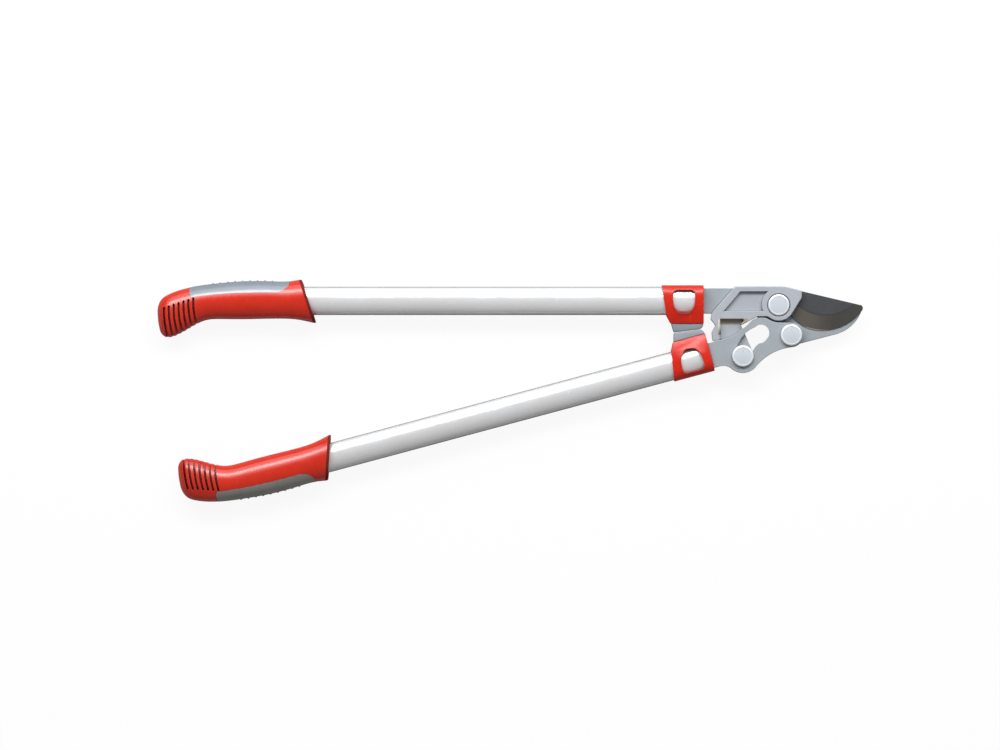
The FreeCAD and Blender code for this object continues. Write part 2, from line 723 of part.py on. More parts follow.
def slot_tool():
    """The slot: the drive pin's own path, as wide as its bush, and a run-out at the far end."""
    first, last = -SLOT_OVERRUN, LEVER_OPEN
    sides = ([], [])
    for step in range(SLOT_STEPS + 1):
        turn = first + (last - first) * step / SLOT_STEPS
        heading = direction(pin_in_lever(turn - 1), pin_in_lever(turn + 1))
        for side, sign in zip(sides, (1, -1)):
            side.append(flat(polar(pin_in_lever(turn), SLOT_HALF_WIDTH, heading + 90 * sign)))
    edges = []
    for side in sides:
        curve = Part.BSplineCurve()
        curve.interpolate(side)
        edges.append(curve.toShape())
    edges.append(Part.makeLine(sides[0][0], sides[1][0]))
    edges.append(Part.makeLine(sides[0][-1], sides[1][-1]))
    strip = Part.Face(Part.Wire(Part.__sortEdges__(edges)))
    start, end = pin_in_lever(first), pin_in_lever(last)
    depth = (HOOK_Z, CARRIER_TOP)
    across = direction(end, SLOT_END) + 90
    run_out = outline(
        polar(end, SLOT_HALF_WIDTH, across),
        [
            polar(SLOT_END, SLOT_HALF_WIDTH, across),
            polar(SLOT_END, SLOT_HALF_WIDTH, across + 180),
            polar(end, SLOT_HALF_WIDTH, across + 180),
        ],
    )
    tool = slab(strip, *depth).fuse(
        [
            slab(run_out, *depth),
            cylinder(start, SLOT_HALF_WIDTH, *depth),
            cylinder(end, SLOT_HALF_WIDTH, *depth),
            cylinder(SLOT_END, SLOT_HALF_WIDTH, *depth),
        ]
    )
    return tool


def lever_outline():
    """The lever plate: tang bar, neck, crest over the slot, lever eye, waist and pin boss."""
    half = TANG_HEIGHT / 2
    crest_r = math.dist(MAIN_PIVOT, SLOT_END) - RELIEF_R
    inner_corner = lower_plan(JOG_HEAD_X, -half)
    outer_corner = lower_plan(JOG_HEAD_X, half)

    neck_line = lower_plan(JOG_HEAD_X, -half - NECK_R)
    neck = line_meets_circle(neck_line, HANDLE_ANGLE, SLOT_END, NECK_R + crest_r, -1)
    neck_start = polar(neck, NECK_R, HANDLE_ANGLE - 90)
    neck_end = polar(neck, NECK_R, direction(neck, SLOT_END))

    crest_end = polar(MAIN_PIVOT, RELIEF_R, direction(MAIN_PIVOT, SLOT_END))
    towards_eye = direction(MAIN_PIVOT, LEVER_PIVOT)
    lean = math.degrees(
        math.acos((RELIEF_R + LEVER_EYE_R) / math.dist(MAIN_PIVOT, LEVER_PIVOT))
    )
    relief_end = polar(MAIN_PIVOT, RELIEF_R, towards_eye - lean)
    eye_start = polar(LEVER_PIVOT, LEVER_EYE_R, towards_eye - lean + 180)

    waist = circles_meet(
        LEVER_PIVOT, LEVER_EYE_R + WAIST_R, DRIVE_PIN, PIN_BOSS_R + WAIST_R, 1
    )
    eye_end = polar(LEVER_PIVOT, LEVER_EYE_R, direction(LEVER_PIVOT, waist))
    boss_start = polar(DRIVE_PIN, PIN_BOSS_R, direction(DRIVE_PIN, waist))

    heel_line = lower_plan(JOG_HEAD_X, half + HEEL_R)
    heel = line_meets_circle(heel_line, HANDLE_ANGLE, DRIVE_PIN, PIN_BOSS_R + HEEL_R, -1)
    boss_end = polar(DRIVE_PIN, PIN_BOSS_R, direction(DRIVE_PIN, heel))
    heel_end = polar(heel, HEEL_R, HANDLE_ANGLE + 90)
    return outline(
        inner_corner,
        [
            neck_start,
            arc_about(neck, neck_start, neck_end, 1),
            arc_about(SLOT_END, neck_end, crest_end, -1),
            arc_about(MAIN_PIVOT, crest_end, relief_end, 1),
            eye_start,
            arc_about(LEVER_PIVOT, eye_start, eye_end, -1),
            arc_about(waist, eye_end, boss_start, 1),
            arc_about(DRIVE_PIN, boss_start, boss_end, -1),
            arc_about(heel, boss_end, heel_end, 1),
            outer_corner,
        ],
    )


def lever_plate():
    half = TANG_HEIGHT / 2
    joint = (lower_plan(JOG_HEAD_X, -half), lower_plan(JOG_HEAD_X, half))
    plate = broken_slab(lever_outline(), LEVER_Z, LEVER_TOP, EDGE_BREAK, joint)
    plate = plate.fuse(on_lower(tang(LOWER_FIRST_PIN))).removeSplitter()
    plate = plate.cut(slot_tool())
    return plate.cut(cylinder(LEVER_PIVOT, LEVER_BOLT_R + FIT, 0, CARRIER_TOP))


# ---- Blade side -----------------------------------------------------------------------
def blade_outline():
    """The blade: root under the carrier, pivot boss, straight spine and curved edge."""
    boss_start = line_meets_circle(
        MAIN_PIVOT, direction(MAIN_PIVOT, EDGE_HEEL) + 8, MAIN_PIVOT, BLADE_BOSS_R, 1
    )
    root_y = BLADE_ROOT_BOTTOM
    boss_end = line_meets_circle((BLADE_ROOT_X, root_y), 0, MAIN_PIVOT, BLADE_BOSS_R, -1)
    return outline(
        (BLADE_ROOT_X, BLADE_ROOT_TOP),
        [
            (BLADE_SHOULDER_X, BLADE_ROOT_TOP),
            SPINE_START,
            SPINE_END,
            (BLADE_TIP, EDGE_TIP),
            (EDGE_FRONT, EDGE_BELLY),
            (EDGE_BACK, EDGE_HEEL),
            boss_start,
            arc_about(MAIN_PIVOT, boss_start, boss_end, -1),
            (BLADE_ROOT_X, root_y),
        ],
    )


def bevel_tool():
    """Everything outside the ground cone: it starts at the bevel's line on the front face."""
    drop = BLADE_T - EDGE_T
    slope = drop / (BEVEL_END_R - BEVEL_START_R)
    top = BLADE_Z + BLADE_T
    clear = 1.0
    reach = 4 * BEVEL_END_R
    cone_low = Part.makeCone(
        BEVEL_START_R + (drop + EDGE_T + clear) / slope,
        BEVEL_START_R - clear / slope,
        BLADE_T + 2 * clear,
        flat(BEVEL_CENTRE, BLADE_Z - clear),
    )
    block = cylinder(BEVEL_CENTRE, reach, BLADE_Z - clear, top + clear)
    return block.cut(cone_low)


def blade():
    """The blade, hollow between its ground bevel and the pivot bush."""
    plate = slab(blade_outline(), BLADE_Z, BLADE_Z + BLADE_T)
    root_side = Part.makeBox(
        EDGE_HEEL[0] + 2 * BLADE_BOSS_R,
        4 * BLADE_BOSS_R,
        2 * BLADE_T,
        Vector(-2 * BLADE_BOSS_R, -2 * BLADE_BOSS_R, BLADE_Z - BLADE_T / 2),
    )
    plate = plate.cut(bevel_tool().cut(root_side))
    plate = plate.cut(cylinder(MAIN_PIVOT, BUSH_R, 0, CARRIER_TOP))
    for y in SCREW_Y:
        plate = plate.cut(screw((SCREW_X, y), FIT))
    return plate


def raised_outline():
    """The carrier's raised part: top bar, nose, boss, rib, leg and strut."""
    boss_side = tangent_point(CARRIER_NOSE[-1][:2], MAIN_PIVOT, CARRIER_BOSS_R, -1)
    shoulder_y = TAIL_SHOULDER[1]
    fillet_line = (TAIL_SHOULDER[0], shoulder_y - BOSS_FILLET)
    fillet = line_meets_circle(
        fillet_line, 0, MAIN_PIVOT, CARRIER_BOSS_R + BOSS_FILLET, -1
    )
    boss_low = polar(MAIN_PIVOT, CARRIER_BOSS_R, direction(MAIN_PIVOT, fillet))
    rib_start = (fillet[0], shoulder_y)
    return outline(
        (BLADE_ROOT_X, CARRIER_TOP_Y),
        [
            (CARRIER_SLOPE_X, CARRIER_TOP_Y, CARRIER_SLOPE_R),
            *CARRIER_NOSE,
            boss_side,
            arc_about(MAIN_PIVOT, boss_side, boss_low, -1),
            arc_about(fillet, boss_low, rib_start, 1),
            (*TAIL_SHOULDER, 2.0),
            TAIL_CORNER,
            GUSSET_TIP,
            (RIB_END_X, RIB_LOW_Y, 1.5),
            (LEG_INNER_X, RIB_LOW_Y, 1.0),
            (*foot_corner(LEG_INNER_X), FOOT_R),
            (*foot_corner(LEG_FOOT_X), FOOT_R),
            *LEG_EDGE,
            (STRUT_TOP_X, CARRIER_TOP_Y, 3.0),
        ],
    )


def foot_corner(x):
    """A corner of the leg's foot, which runs along the lever tang's inner edge."""
    corner = lower_plan(JOG_HEAD_X, -TANG_HEIGHT / 2 - FOOT_GAP)
    return (x, corner[1] + (x - corner[0]) * math.tan(math.radians(HANDLE_ANGLE)))


def floor_outline():
    """The carrier's floor in the blade's layer, which runs down to the drive pin."""
    disc_start = tangent_point(TAIL_CORNER, DRIVE_PIN, TAIL_DISC_R, -1)
    leg_foot = foot_corner(LEG_INNER_X)
    disc_end = tangent_point(leg_foot, DRIVE_PIN, TAIL_DISC_R, 1)
    wall = BLADE_ROOT_X - POCKET_GAP
    ledge = BLADE_ROOT_BOTTOM - POCKET_GAP
    return outline(
        (STRUT_TOP_X + 4.0, CARRIER_TOP_Y),
        [
            (wall, CARRIER_TOP_Y),
            (wall, ledge),
            (TAIL_SHOULDER[0] + 4.5, ledge),
            TAIL_SHOULDER,
            TAIL_CORNER,
            disc_start,
            arc_about(DRIVE_PIN, disc_start, disc_end, -1),
            leg_foot,
            (*foot_corner(LEG_FOOT_X), FOOT_R),
            *LEG_EDGE,
            (STRUT_TOP_X, CARRIER_TOP_Y, 3.0),
        ],
    )


def panel_outline():
    """The sunk panel between the carrier's top bar, strut, rib and boss ring."""
    top_right = (PANEL_RIGHT_TOP, PANEL_TOP_Y)
    ring = math.dist(MAIN_PIVOT, top_right)
    low_right = line_meets_circle(
        (PANEL_LEFT_BOTTOM, PANEL_BOTTOM_Y), 0, MAIN_PIVOT, PANEL_RING_R, -1
    )
    middle = (-(PANEL_RING_R + ring) / 2, (PANEL_TOP_Y + PANEL_BOTTOM_Y) / 2)
    return outline(
        (PANEL_LEFT_TOP, PANEL_TOP_Y),
        [
            top_right,
            (middle, low_right),
            (PANEL_LEFT_BOTTOM, PANEL_BOTTOM_Y),
        ],
    )


def blade_carrier():
    """The cast carrier: raised frame over the blade's root, and a floor down to the pin."""
    base = BLADE_Z + BLADE_T
    raised = slab(raised_outline(), base, CARRIER_TOP)
    raised = raised.makeChamfer(CARRIER_RIM_BREAK, rim_edges(raised, CARRIER_TOP))
    panel = slab(panel_outline(), base + PANEL_FLOOR, CARRIER_TOP + 1)
    recess = cylinder(MAIN_PIVOT, RECESS_R, RECESS_Z, CARRIER_TOP + 1)
    raised = raised.cut(panel).cut(recess)
    whole = raised.fuse(slab(floor_outline(), BLADE_Z, base)).removeSplitter()
    whole = whole.cut(cylinder(MAIN_PIVOT, BUSH_R, 0, CARRIER_TOP))
    whole = whole.cut(cylinder(DRIVE_PIN, DRIVE_BOLT_R + FIT, 0, CARRIER_TOP))
    for y in SCREW_Y:
        whole = whole.cut(screw((SCREW_X, y), FIT))
    return whole


# ---- Bolts, caps and bushes -----------------------------------------------------------
def hexagon(centre, flats, bottom, top):
    """A six-sided bolt head with its lower corners rounded off."""
    radius = flats / math.sqrt(3)
    corners = [flat(polar(centre, radius, 60 * i), bottom) for i in range(7)]
    head = Part.Face(Part.makePolygon(corners)).extrude(Vector(0, 0, top - bottom))
    rise = top - bottom
    cone = Part.makeCone(flats / 2, flats / 2 + 2 * rise, rise, flat(centre, bottom))
    return head.common(cone)


def cap(centre, bottom, bore):
    """A round cap with a soft shoulder and a slightly domed face, bored for its bolt."""
    face_r = CAP_R - CAP_SHOULDER
    face_z = CAP_RIM + CAP_SHOULDER
    dome_r = (face_r**2 + CAP_DOME**2) / (2 * CAP_DOME)
    dome_centre = (0.0, face_z + CAP_DOME - dome_r)
    half_way = 90 - math.degrees(math.asin(face_r / dome_r)) / 2
    profile = outline(
        (0.0, 0.0),
        [
            (CAP_R, 0.0),
            (CAP_R, CAP_RIM),
            (polar((face_r, CAP_RIM), CAP_SHOULDER, 45), (face_r, face_z)),
            (polar(dome_centre, dome_r, half_way), (0.0, face_z + CAP_DOME)),
        ],
    )
    profile.rotate(Vector(0, 0, 0), Vector(1, 0, 0), 90)
    body = profile.revolve(Vector(0, 0, 0), Vector(0, 0, 1), 360)
    body = body.translated(flat(centre, bottom))
    return body.cut(cylinder(centre, bore + FIT, bottom, bottom + CAP_BORE_DEPTH))


def ring(centre, outer, inner, bottom, top):
    return cylinder(centre, outer, bottom, top).cut(cylinder(centre, inner, bottom, top))


def main_bolt():
    """The main pivot's bolt. Its hexagon head stands on the ground."""
    head = hexagon(MAIN_PIVOT, MAIN_HEAD_FLATS, 0, HOOK_Z - WASHER_T)
    end = MAIN_CAP_Z + CAP_BORE_DEPTH
    return head.fuse(cylinder(MAIN_PIVOT, MAIN_BOLT_R, HOOK_Z - WASHER_T, end)).removeSplitter()


def lever_bolt():
    head = hexagon(LEVER_PIVOT, LEVER_HEAD_FLATS, HOOK_Z - LEVER_HEAD_H, HOOK_Z)
    end = SIDE_CAP_Z + CAP_BORE_DEPTH
    return head.fuse(cylinder(LEVER_PIVOT, LEVER_BOLT_R, HOOK_Z, end)).removeSplitter()


def drive_bolt():
    """The drive pin's bolt, with a low round head behind the carrier's tail."""
    head = cylinder(DRIVE_PIN, DRIVE_HEAD_R, BLADE_Z - DRIVE_HEAD_H, BLADE_Z)
    head = head.makeChamfer(DRIVE_HEAD_H / 3, rim_edges(head, BLADE_Z - DRIVE_HEAD_H))
    end = SIDE_CAP_Z + CAP_BORE_DEPTH
    return head.fuse(cylinder(DRIVE_PIN, DRIVE_BOLT_R, BLADE_Z, end)).removeSplitter()


def screw(centre, gap=0.0):
    """A countersunk screw, put in from behind the blade."""
    end = BLADE_Z + BLADE_T + PANEL_FLOOR - 0.6
    head = Part.makeCone(
        SCREW_HEAD_R + gap, SCREW_R + gap, SCREW_HEAD_H, flat(centre, BLADE_Z)
    )
    return head.fuse(cylinder(centre, SCREW_R + gap, BLADE_Z, end + gap)).removeSplitter()


# ---- The whole tool -------------------------------------------------------------------
def handle_nodes(side, place, first_pin, hard, insert):
    """The pieces that both handles have."""
    return {
        f"{side}_tube": place(tube(first_pin)),
        f"{side}_grip": place(hard),
        f"{side}_grip_insert": place(insert),
        f"{side}_collar": place(collar()),
        f"{side}_bumper": place(bumper()),
        f"{side}_tang_plug": place(tang_plug(first_pin)),
        f"{side}_tang_pins": place(tang_pins(first_pin)),
    }


def nodes():
    parts = {}
    hard, insert = grip_pieces()
    parts.update(handle_nodes("upper", on_upper, UPPER_FIRST_PIN, hard, insert))
    parts.update(handle_nodes("lower", on_lower, LOWER_FIRST_PIN, hard, insert))
    blade_top = BLADE_Z + BLADE_T
    washer_z = HOOK_Z - WASHER_T
    hook_top = HOOK_Z + PLATE_T
    parts.update(
        hook_plate=hook_plate(),
        main_bolt=main_bolt(),
        main_washer=ring(MAIN_PIVOT, WASHER_R, MAIN_BOLT_R + FIT, washer_z, HOOK_Z),
        main_cap=cap(MAIN_PIVOT, MAIN_CAP_Z, MAIN_BOLT_R),
        lever_bolt=lever_bolt(),
        lever_spacer=ring(
            LEVER_PIVOT, SPACER_R, LEVER_BOLT_R + FIT, hook_top, LEVER_Z - FACE_GAP
        ),
        lever_cap=cap(LEVER_PIVOT, SIDE_CAP_Z, LEVER_BOLT_R),
        blade=blade(),
        blade_carrier=blade_carrier(),
        blade_bush=ring(MAIN_PIVOT, BUSH_R, MAIN_BOLT_R + FIT, BLADE_Z, RECESS_Z),
        carrier_screws=Part.Compound([screw((SCREW_X, y)) for y in SCREW_Y]),
        drive_bolt=drive_bolt(),
        drive_bush=ring(
            DRIVE_PIN, DRIVE_BUSH_R, DRIVE_BOLT_R + FIT, blade_top, SIDE_CAP_Z
        ),
        drive_cap=cap(DRIVE_PIN, SIDE_CAP_Z, DRIVE_BOLT_R),
        lever_plate=lever_plate(),
    )
    return parts


def main():
    os.makedirs("parts", exist_ok=True)
    for name, shape in nodes().items():
        shape.exportStep(f"parts/{name}.step")


main()
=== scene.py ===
import math

import bpy
from mathutils import Matrix, Vector

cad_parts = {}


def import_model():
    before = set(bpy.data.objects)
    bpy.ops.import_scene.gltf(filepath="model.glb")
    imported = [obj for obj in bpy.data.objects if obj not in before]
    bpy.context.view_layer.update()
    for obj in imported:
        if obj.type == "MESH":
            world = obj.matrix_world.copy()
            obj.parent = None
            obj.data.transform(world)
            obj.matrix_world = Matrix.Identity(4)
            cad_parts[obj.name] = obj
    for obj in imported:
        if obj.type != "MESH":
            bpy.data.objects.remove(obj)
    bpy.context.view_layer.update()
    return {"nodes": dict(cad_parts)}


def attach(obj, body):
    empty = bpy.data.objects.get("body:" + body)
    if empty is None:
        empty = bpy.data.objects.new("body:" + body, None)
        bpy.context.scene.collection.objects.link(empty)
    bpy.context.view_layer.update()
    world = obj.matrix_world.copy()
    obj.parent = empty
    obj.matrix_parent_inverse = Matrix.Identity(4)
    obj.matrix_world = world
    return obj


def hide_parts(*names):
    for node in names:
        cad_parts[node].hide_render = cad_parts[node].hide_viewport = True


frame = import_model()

# Bypass loppers lying flat with the jaws shut, seen from straight above.
# +X runs from the grips to the jaws, +Y is up in the picture, +Z comes towards the camera.

MM = 0.001

# ---- Where the pieces are, in millimetres -----------------------------------------------
MID_Z = 17.0
UPPER_AXIS_Y = 4.4
HANDLE_CROSS_X = 145.0
HANDLE_CROSS = (HANDLE_CROSS_X, UPPER_AXIS_Y)
HANDLE_ANGLE = 15.0
TUBE_HEAD_X = -86.5
MOUTH_X = -498.5
MAIN_PIVOT = (0.0, 0.0)
LEVER_PIVOT = (13.4, -31.8)
DRIVE_PIN = (-38.1, -54.2)
TUBE_HALF_HEIGHT = 15.0
TUBE_HALF_DEPTH = 10.0
THROUGH = 30.0  # from the middle, far enough up or down to pass through any piece
OVERRUN = 1.0  # how far a cutter starts outside its piece

made = {}  # the new piece that stands for each CAD node


# ---- Modelling helpers ------------------------------------------------------------------
def deselect_all():
    """Leaves object mode with nothing selected, so that the next operator acts on one piece."""
    if bpy.context.object and bpy.context.object.mode != "OBJECT":
        bpy.ops.object.mode_set(mode="OBJECT")
    bpy.ops.object.select_all(action="DESELECT")


def pick(piece):
    deselect_all()
    piece.select_set(True)
    bpy.context.view_layer.objects.active = piece


def named(name):
    """The primitive just added, under its piece's name."""
    piece = bpy.context.object
    piece.name = name
    piece.data.name = name
    return piece


def settle(piece):
    """Puts the piece's place, turn and scale into its mesh."""
    pick(piece)
    bpy.ops.object.transform_apply(location=True, rotation=True, scale=True)


def edit_all(piece):
    """Goes into edit mode with the whole piece selected."""
    pick(piece)
    bpy.ops.object.mode_set(mode="EDIT")
    bpy.ops.mesh.select_all(action="SELECT")


def edit_rim(piece):
    """Goes into edit mode with only the piece's open rim selected."""
    pick(piece)
    bpy.ops.object.mode_set(mode="EDIT")
    bpy.ops.mesh.select_all(action="DESELECT")
    bpy.ops.mesh.select_non_manifold()


def edit_faces(piece, wanted):
    """Goes into edit mode with only the wanted faces selected."""
    pick(piece)
    bpy.ops.object.mode_set(mode="EDIT")
    bpy.ops.mesh.select_mode(type="FACE")
    bpy.ops.mesh.select_all(action="DESELECT")
    bpy.ops.object.mode_set(mode="OBJECT")
    for face in piece.data.polygons:
        face.select = wanted(face)
    bpy.ops.object.mode_set(mode="EDIT")


def leave_edit(turn_out=False):
    """Leaves edit mode, and first turns every face outwards if asked."""
    if turn_out:
        bpy.ops.mesh.select_all(action="SELECT")
        bpy.ops.mesh.normals_make_consistent(inside=False)
    bpy.ops.object.mode_set(mode="OBJECT")


def copy_of(piece, name):
    twin = piece.copy()
    twin.data = piece.data.copy()
    twin.name = name
    twin.data.name = name
    bpy.context.scene.collection.objects.link(twin)
    return twin


def join_all(pieces):
    """Joins the pieces into the first of them."""
    pick(pieces[0])
    for piece in pieces:
        piece.select_set(True)
    bpy.ops.object.join()
    return pieces[0]


def apply_modifier(piece, kind, **settings):
    pick(piece)
    step = piece.modifiers.new(kind.title(), kind)
    for key, value in settings.items():
        setattr(step, key, value)
    bpy.ops.object.modifier_apply(modifier=step.name)


def cut(piece, tool, operation="DIFFERENCE"):
    """Cuts, joins or trims a piece by a tool, and takes the tool away."""
    apply_modifier(piece, "BOOLEAN", operation=operation, object=tool, solver="EXACT")
    bpy.data.objects.remove(tool)


def round_edges(piece, width, angle, segments):
    apply_modifier(
        piece,
        "BEVEL",
        width=width * MM,
        segments=segments,
        limit_method="ANGLE",
        angle_limit=math.radians(angle),
        miter_outer="MITER_ARC",
    )


def smooth(piece, angle):
    pick(piece)
    bpy.ops.object.shade_smooth_by_angle(angle=math.radians(angle))


def swing_to_lower(piece):
    """Turns a piece made on the upper handle over, and swings it onto the lower handle."""
    axis = Vector((0.0, UPPER_AXIS_Y * MM, MID_Z * MM))
    cross = Vector((HANDLE_CROSS_X * MM, UPPER_AXIS_Y * MM, MID_Z * MM))
    over = Matrix.Translation(axis) @ Matrix.Rotation(math.pi, 4, "X") @ Matrix.Translation(-axis)
    turn = Matrix.Rotation(math.radians(HANDLE_ANGLE), 4, "Z")
    swing = Matrix.Translation(cross) @ turn @ Matrix.Translation(-cross)
    piece.data.transform(swing @ over)
    return piece


def stand_for(piece, body, node):
    """The piece rides on a body and is shown in place of this CAD node."""
    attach(piece, body)
    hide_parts(node)
    made[node] = piece


def on_both_handles(piece, node):
    """Puts a piece on the upper handle, and its twin on the lower one."""
    twin = swing_to_lower(copy_of(piece, piece.name.replace("upper", "lower")))
    stand_for(piece, "hook_handle", node)
    stand_for(twin, "lever_handle", node.replace("upper", "lower"))


def clear_start():
    """Takes away what a new Blender file starts with."""
    for name in ("Cube", "Light", "Camera"):
        if name in bpy.data.objects:
            bpy.data.objects.remove(bpy.data.objects[name])


clear_start()


# ---- Plain forms to start from ----------------------------------------------------------
def prism(name, points, bottom, top):
    """A closed block with an outline of points in plan, in millimetres, between two heights."""
    deselect_all()
    bpy.ops.mesh.primitive_circle_add(vertices=len(points), radius=MM, fill_type="NGON")
    piece = named(name)
    for vertex, (x, y) in zip(piece.data.vertices, points):
        vertex.co = Vector((x, y, bottom)) * MM
    edit_all(piece)
    rise = (0.0, 0.0, (top - bottom) * MM)
    bpy.ops.mesh.extrude_region_move(TRANSFORM_OT_translate={"value": rise})
    leave_edit(turn_out=True)
    return piece


def through_block(name, points):
    """A block that passes right through the tool's depth, as a cutter."""
    return prism(name, points, MID_Z - THROUGH, MID_Z + THROUGH)


def bar_along(name, profile, tail_x, head_x):
    """A closed bar along X with an outline of (y, z) points in millimetres."""
    piece = prism(name, [(tail_x, y) for y, _ in profile], 0.0, head_x - tail_x)
    for vertex in piece.data.vertices:
        y, z = profile[vertex.index % len(profile)]
        along = vertex.co.z / MM
        vertex.co = Vector((tail_x + along, y, z)) * MM
    edit_all(piece)
    leave_edit(turn_out=True)
    return piece


def disc(name, centre, radius, bottom, top, points=96):
    """A plain round block, as a start for turned pieces and for bores."""
    deselect_all()
    place = Vector((centre[0], centre[1], (bottom + top) / 2)) * MM
    bpy.ops.mesh.primitive_cylinder_add(
        vertices=points, radius=radius * MM, depth=(top - bottom) * MM, location=place
    )
    piece = named(name)
    settle(piece)
    return piece


def oval_bar(name, half_height, half_depth, tail_x, head_x, points=96):
    """A bar of oval section along the upper handle."""
    deselect_all()
    middle = Vector(((tail_x + head_x) / 2, UPPER_AXIS_Y, MID_Z)) * MM
    bpy.ops.mesh.primitive_cylinder_add(
        vertices=points,
        radius=MM,
        depth=(head_x - tail_x) * MM,
        location=middle,
        rotation=(0, math.pi / 2, 0),
    )
    piece = named(name)
    settle(piece)
    edit_all(piece)
    bpy.ops.transform.resize(value=(1, half_height, half_depth), center_override=middle)
    leave_edit()
    return piece


def swell(piece, distance):
    """Moves the whole skin out along its normals."""
    edit_all(piece)
    bpy.ops.transform.shrink_fatten(value=distance * MM)
    leave_edit()


def bevel_end(piece, up, offset, segments, profile=0.5):
    """Bevels the rim of a round piece's top where up is 1, or of its bottom where it is -1."""
    edit_faces(piece, lambda face: face.normal.z * up > 0.9)
    bpy.ops.mesh.bevel(offset=offset * MM, segments=segments, profile=profile, affect="EDGES")
    leave_edit()


def arc_points(centre, radius, start, end, count):
    """Points along an arc, its directions in degrees."""
    turns = [math.radians(start + (end - start) * step / (count - 1)) for step in range(count)]
    return [(centre[0] + radius * math.cos(t), centre[1] + radius * math.sin(t)) for t in turns]


def square_round(degrees, power):
    """A direction's point on a squared round, as shares of its half width and half height."""
    turn = math.radians(degrees)
    return [math.copysign(abs(share) ** power, share) for share in (math.cos(turn), math.sin(turn))]


# ---- Handle grips -----------------------------------------------------------------------
# The grip's cross-sections from its mouth to its butt. Each gives how far back its outer and
# inner points lie, and how much plastic stands over the tube: outside, inside, at the sides.
GRIP_SECTIONS = (
    (8.9, -6.5, 7.8, 8.7, 7.0),
    (11.0, -3.2, 7.5, 8.2, 6.6),
    (16.0, 4.0, 6.6, 6.4, 5.4),
    (26.0, 17.5, 5.0, 3.8, 4.4),
    (48.0, 42.0, 6.3, 3.9, 4.8),
    (73.6, 68.3, 6.0, 4.7, 5.2),
    (96.0, 92.0, 3.8, 4.4, 4.8),
    (111.8, 107.0, 2.0, 4.2, 4.4),
    (124.6, 117.5, 0.0, 8.2, 4.2),
    (137.0, 129.0, -2.9, 15.3, 4.0),
    (148.0, 140.0, -7.0, 21.6, 3.4),
    (156.5, 148.0, -11.5, 24.2, 2.0),
    (160.5, 154.0, -18.5, 23.6, -2.0),
    (161.5, 158.5, -26.0, 18.0, -6.5),
)
RING_POINTS = 40
BUTT_SHRINKS = (0.6, 0.5)  # two last rings that close the butt
BUTT_CROWN = 0.4
MOUTH_WALL = 2.2
MOUTH_DEPTH = 9.0


def section(index, skin=0.0, rim=0.0):
    """One section's middle, lean, half height and half depth.

    The form is smaller by the rim as it is seen in plan, and by the skin in depth.
    """
    outer_back, inner_back, outer, inner, side = GRIP_SECTIONS[index]
    top = Vector((MOUTH_X - outer_back, UPPER_AXIS_Y + TUBE_HALF_HEIGHT + outer))
    low = Vector((MOUTH_X - inner_back, UPPER_AXIS_Y - TUBE_HALF_HEIGHT - inner))
    lean = math.atan2(low.x - top.x, top.y - low.y)
    middle = (top + low) / 2
    if index > len(GRIP_SECTIONS) - 3:
        middle.x += rim
    half_height = (top - low).length / 2 - rim
    return middle, lean, half_height, max(TUBE_HALF_DEPTH + side - skin, 1.0)


def to_space(middle):
    return Vector((middle.x, middle.y, MID_Z)) * MM


def turn_selected(angle, centre):
    """Turns the selection about Z. With no window, the operator's angle runs clockwise."""
    bpy.ops.transform.rotate(value=-angle, orient_axis="Z", center_override=centre)


def carry_ring(before, after):
    """Takes the selected ring from one section's place, lean and size to the next one's."""
    here, lean, height, depth = before
    there, next_lean, next_height, next_depth = after
    turn_selected(-lean, to_space(here))
    grow = (1.0, next_height / height, next_depth / depth)
    bpy.ops.transform.resize(value=grow, center_override=to_space(here))
    bpy.ops.transform.translate(value=to_space(there) - to_space(here))
    turn_selected(next_lean, to_space(there))


def grip_cage(name, skin=0.0, rim=0.0):
    """The grip as a tube of rings, extruded from its open mouth to its closed butt."""
    deselect_all()
    first = section(0, skin, rim)
    bpy.ops.mesh.primitive_circle_add(
        vertices=RING_POINTS, radius=MM, location=to_space(first[0]), rotation=(0, math.pi / 2, 0)
    )
    piece = named(name)
    settle(piece)
    edit_all(piece)
    carry_ring((first[0], 0.0, 1.0, 1.0), first)
    for index in range(1, len(GRIP_SECTIONS)):
        bpy.ops.mesh.extrude_edges_move()
        carry_ring(section(index - 1, skin, rim), section(index, skin, rim))
    last = section(len(GRIP_SECTIONS) - 1, skin, rim)
    for shrink in BUTT_SHRINKS:
        bpy.ops.mesh.extrude_edges_move()
        bpy.ops.transform.resize(value=(shrink,) * 3, center_override=to_space(last[0]))
    bpy.ops.transform.translate(value=(-BUTT_CROWN * MM, 0, 0))
    bpy.ops.mesh.edge_face_add()
    leave_edit()
    return piece


def close_mouth(piece):
    """Gives the flared mouth its lip, and a recess that runs back round the tube."""
    edit_rim(piece)
    middle, lean, height, side = section(0)
    rings = (  # how far in from the mouth's edge, and how far back
        (0.5, -1.0),
        (MOUTH_WALL - 0.4, -1.1),
        (MOUTH_WALL, 0.0),
        (MOUTH_WALL + 0.5, MOUTH_DEPTH),
        (height - TUBE_HALF_HEIGHT - 0.3, MOUTH_DEPTH + 1.0),
    )
    before = (middle, lean, height, side)
    for inset, back in rings:
        moved = Vector((middle.x - back, middle.y))
        after = (moved, lean, height - inset, max(side - inset, TUBE_HALF_DEPTH + 0.2))
        bpy.ops.mesh.extrude_edges_move()
        carry_ring(before, after)
        before = after
    bpy.ops.mesh.edge_face_add()
    leave_edit(turn_out=True)


def plain_form(name, skin=0.0, rim=0.0):
    """The grip's outer form, closed at its mouth, or the same form that much smaller."""
    piece = grip_cage(name, skin, rim)
    edit_rim(piece)
    bpy.ops.mesh.edge_face_add()
    leave_edit(turn_out=True)
    apply_modifier(piece, "SUBSURF", levels=2, render_levels=2)
    return piece


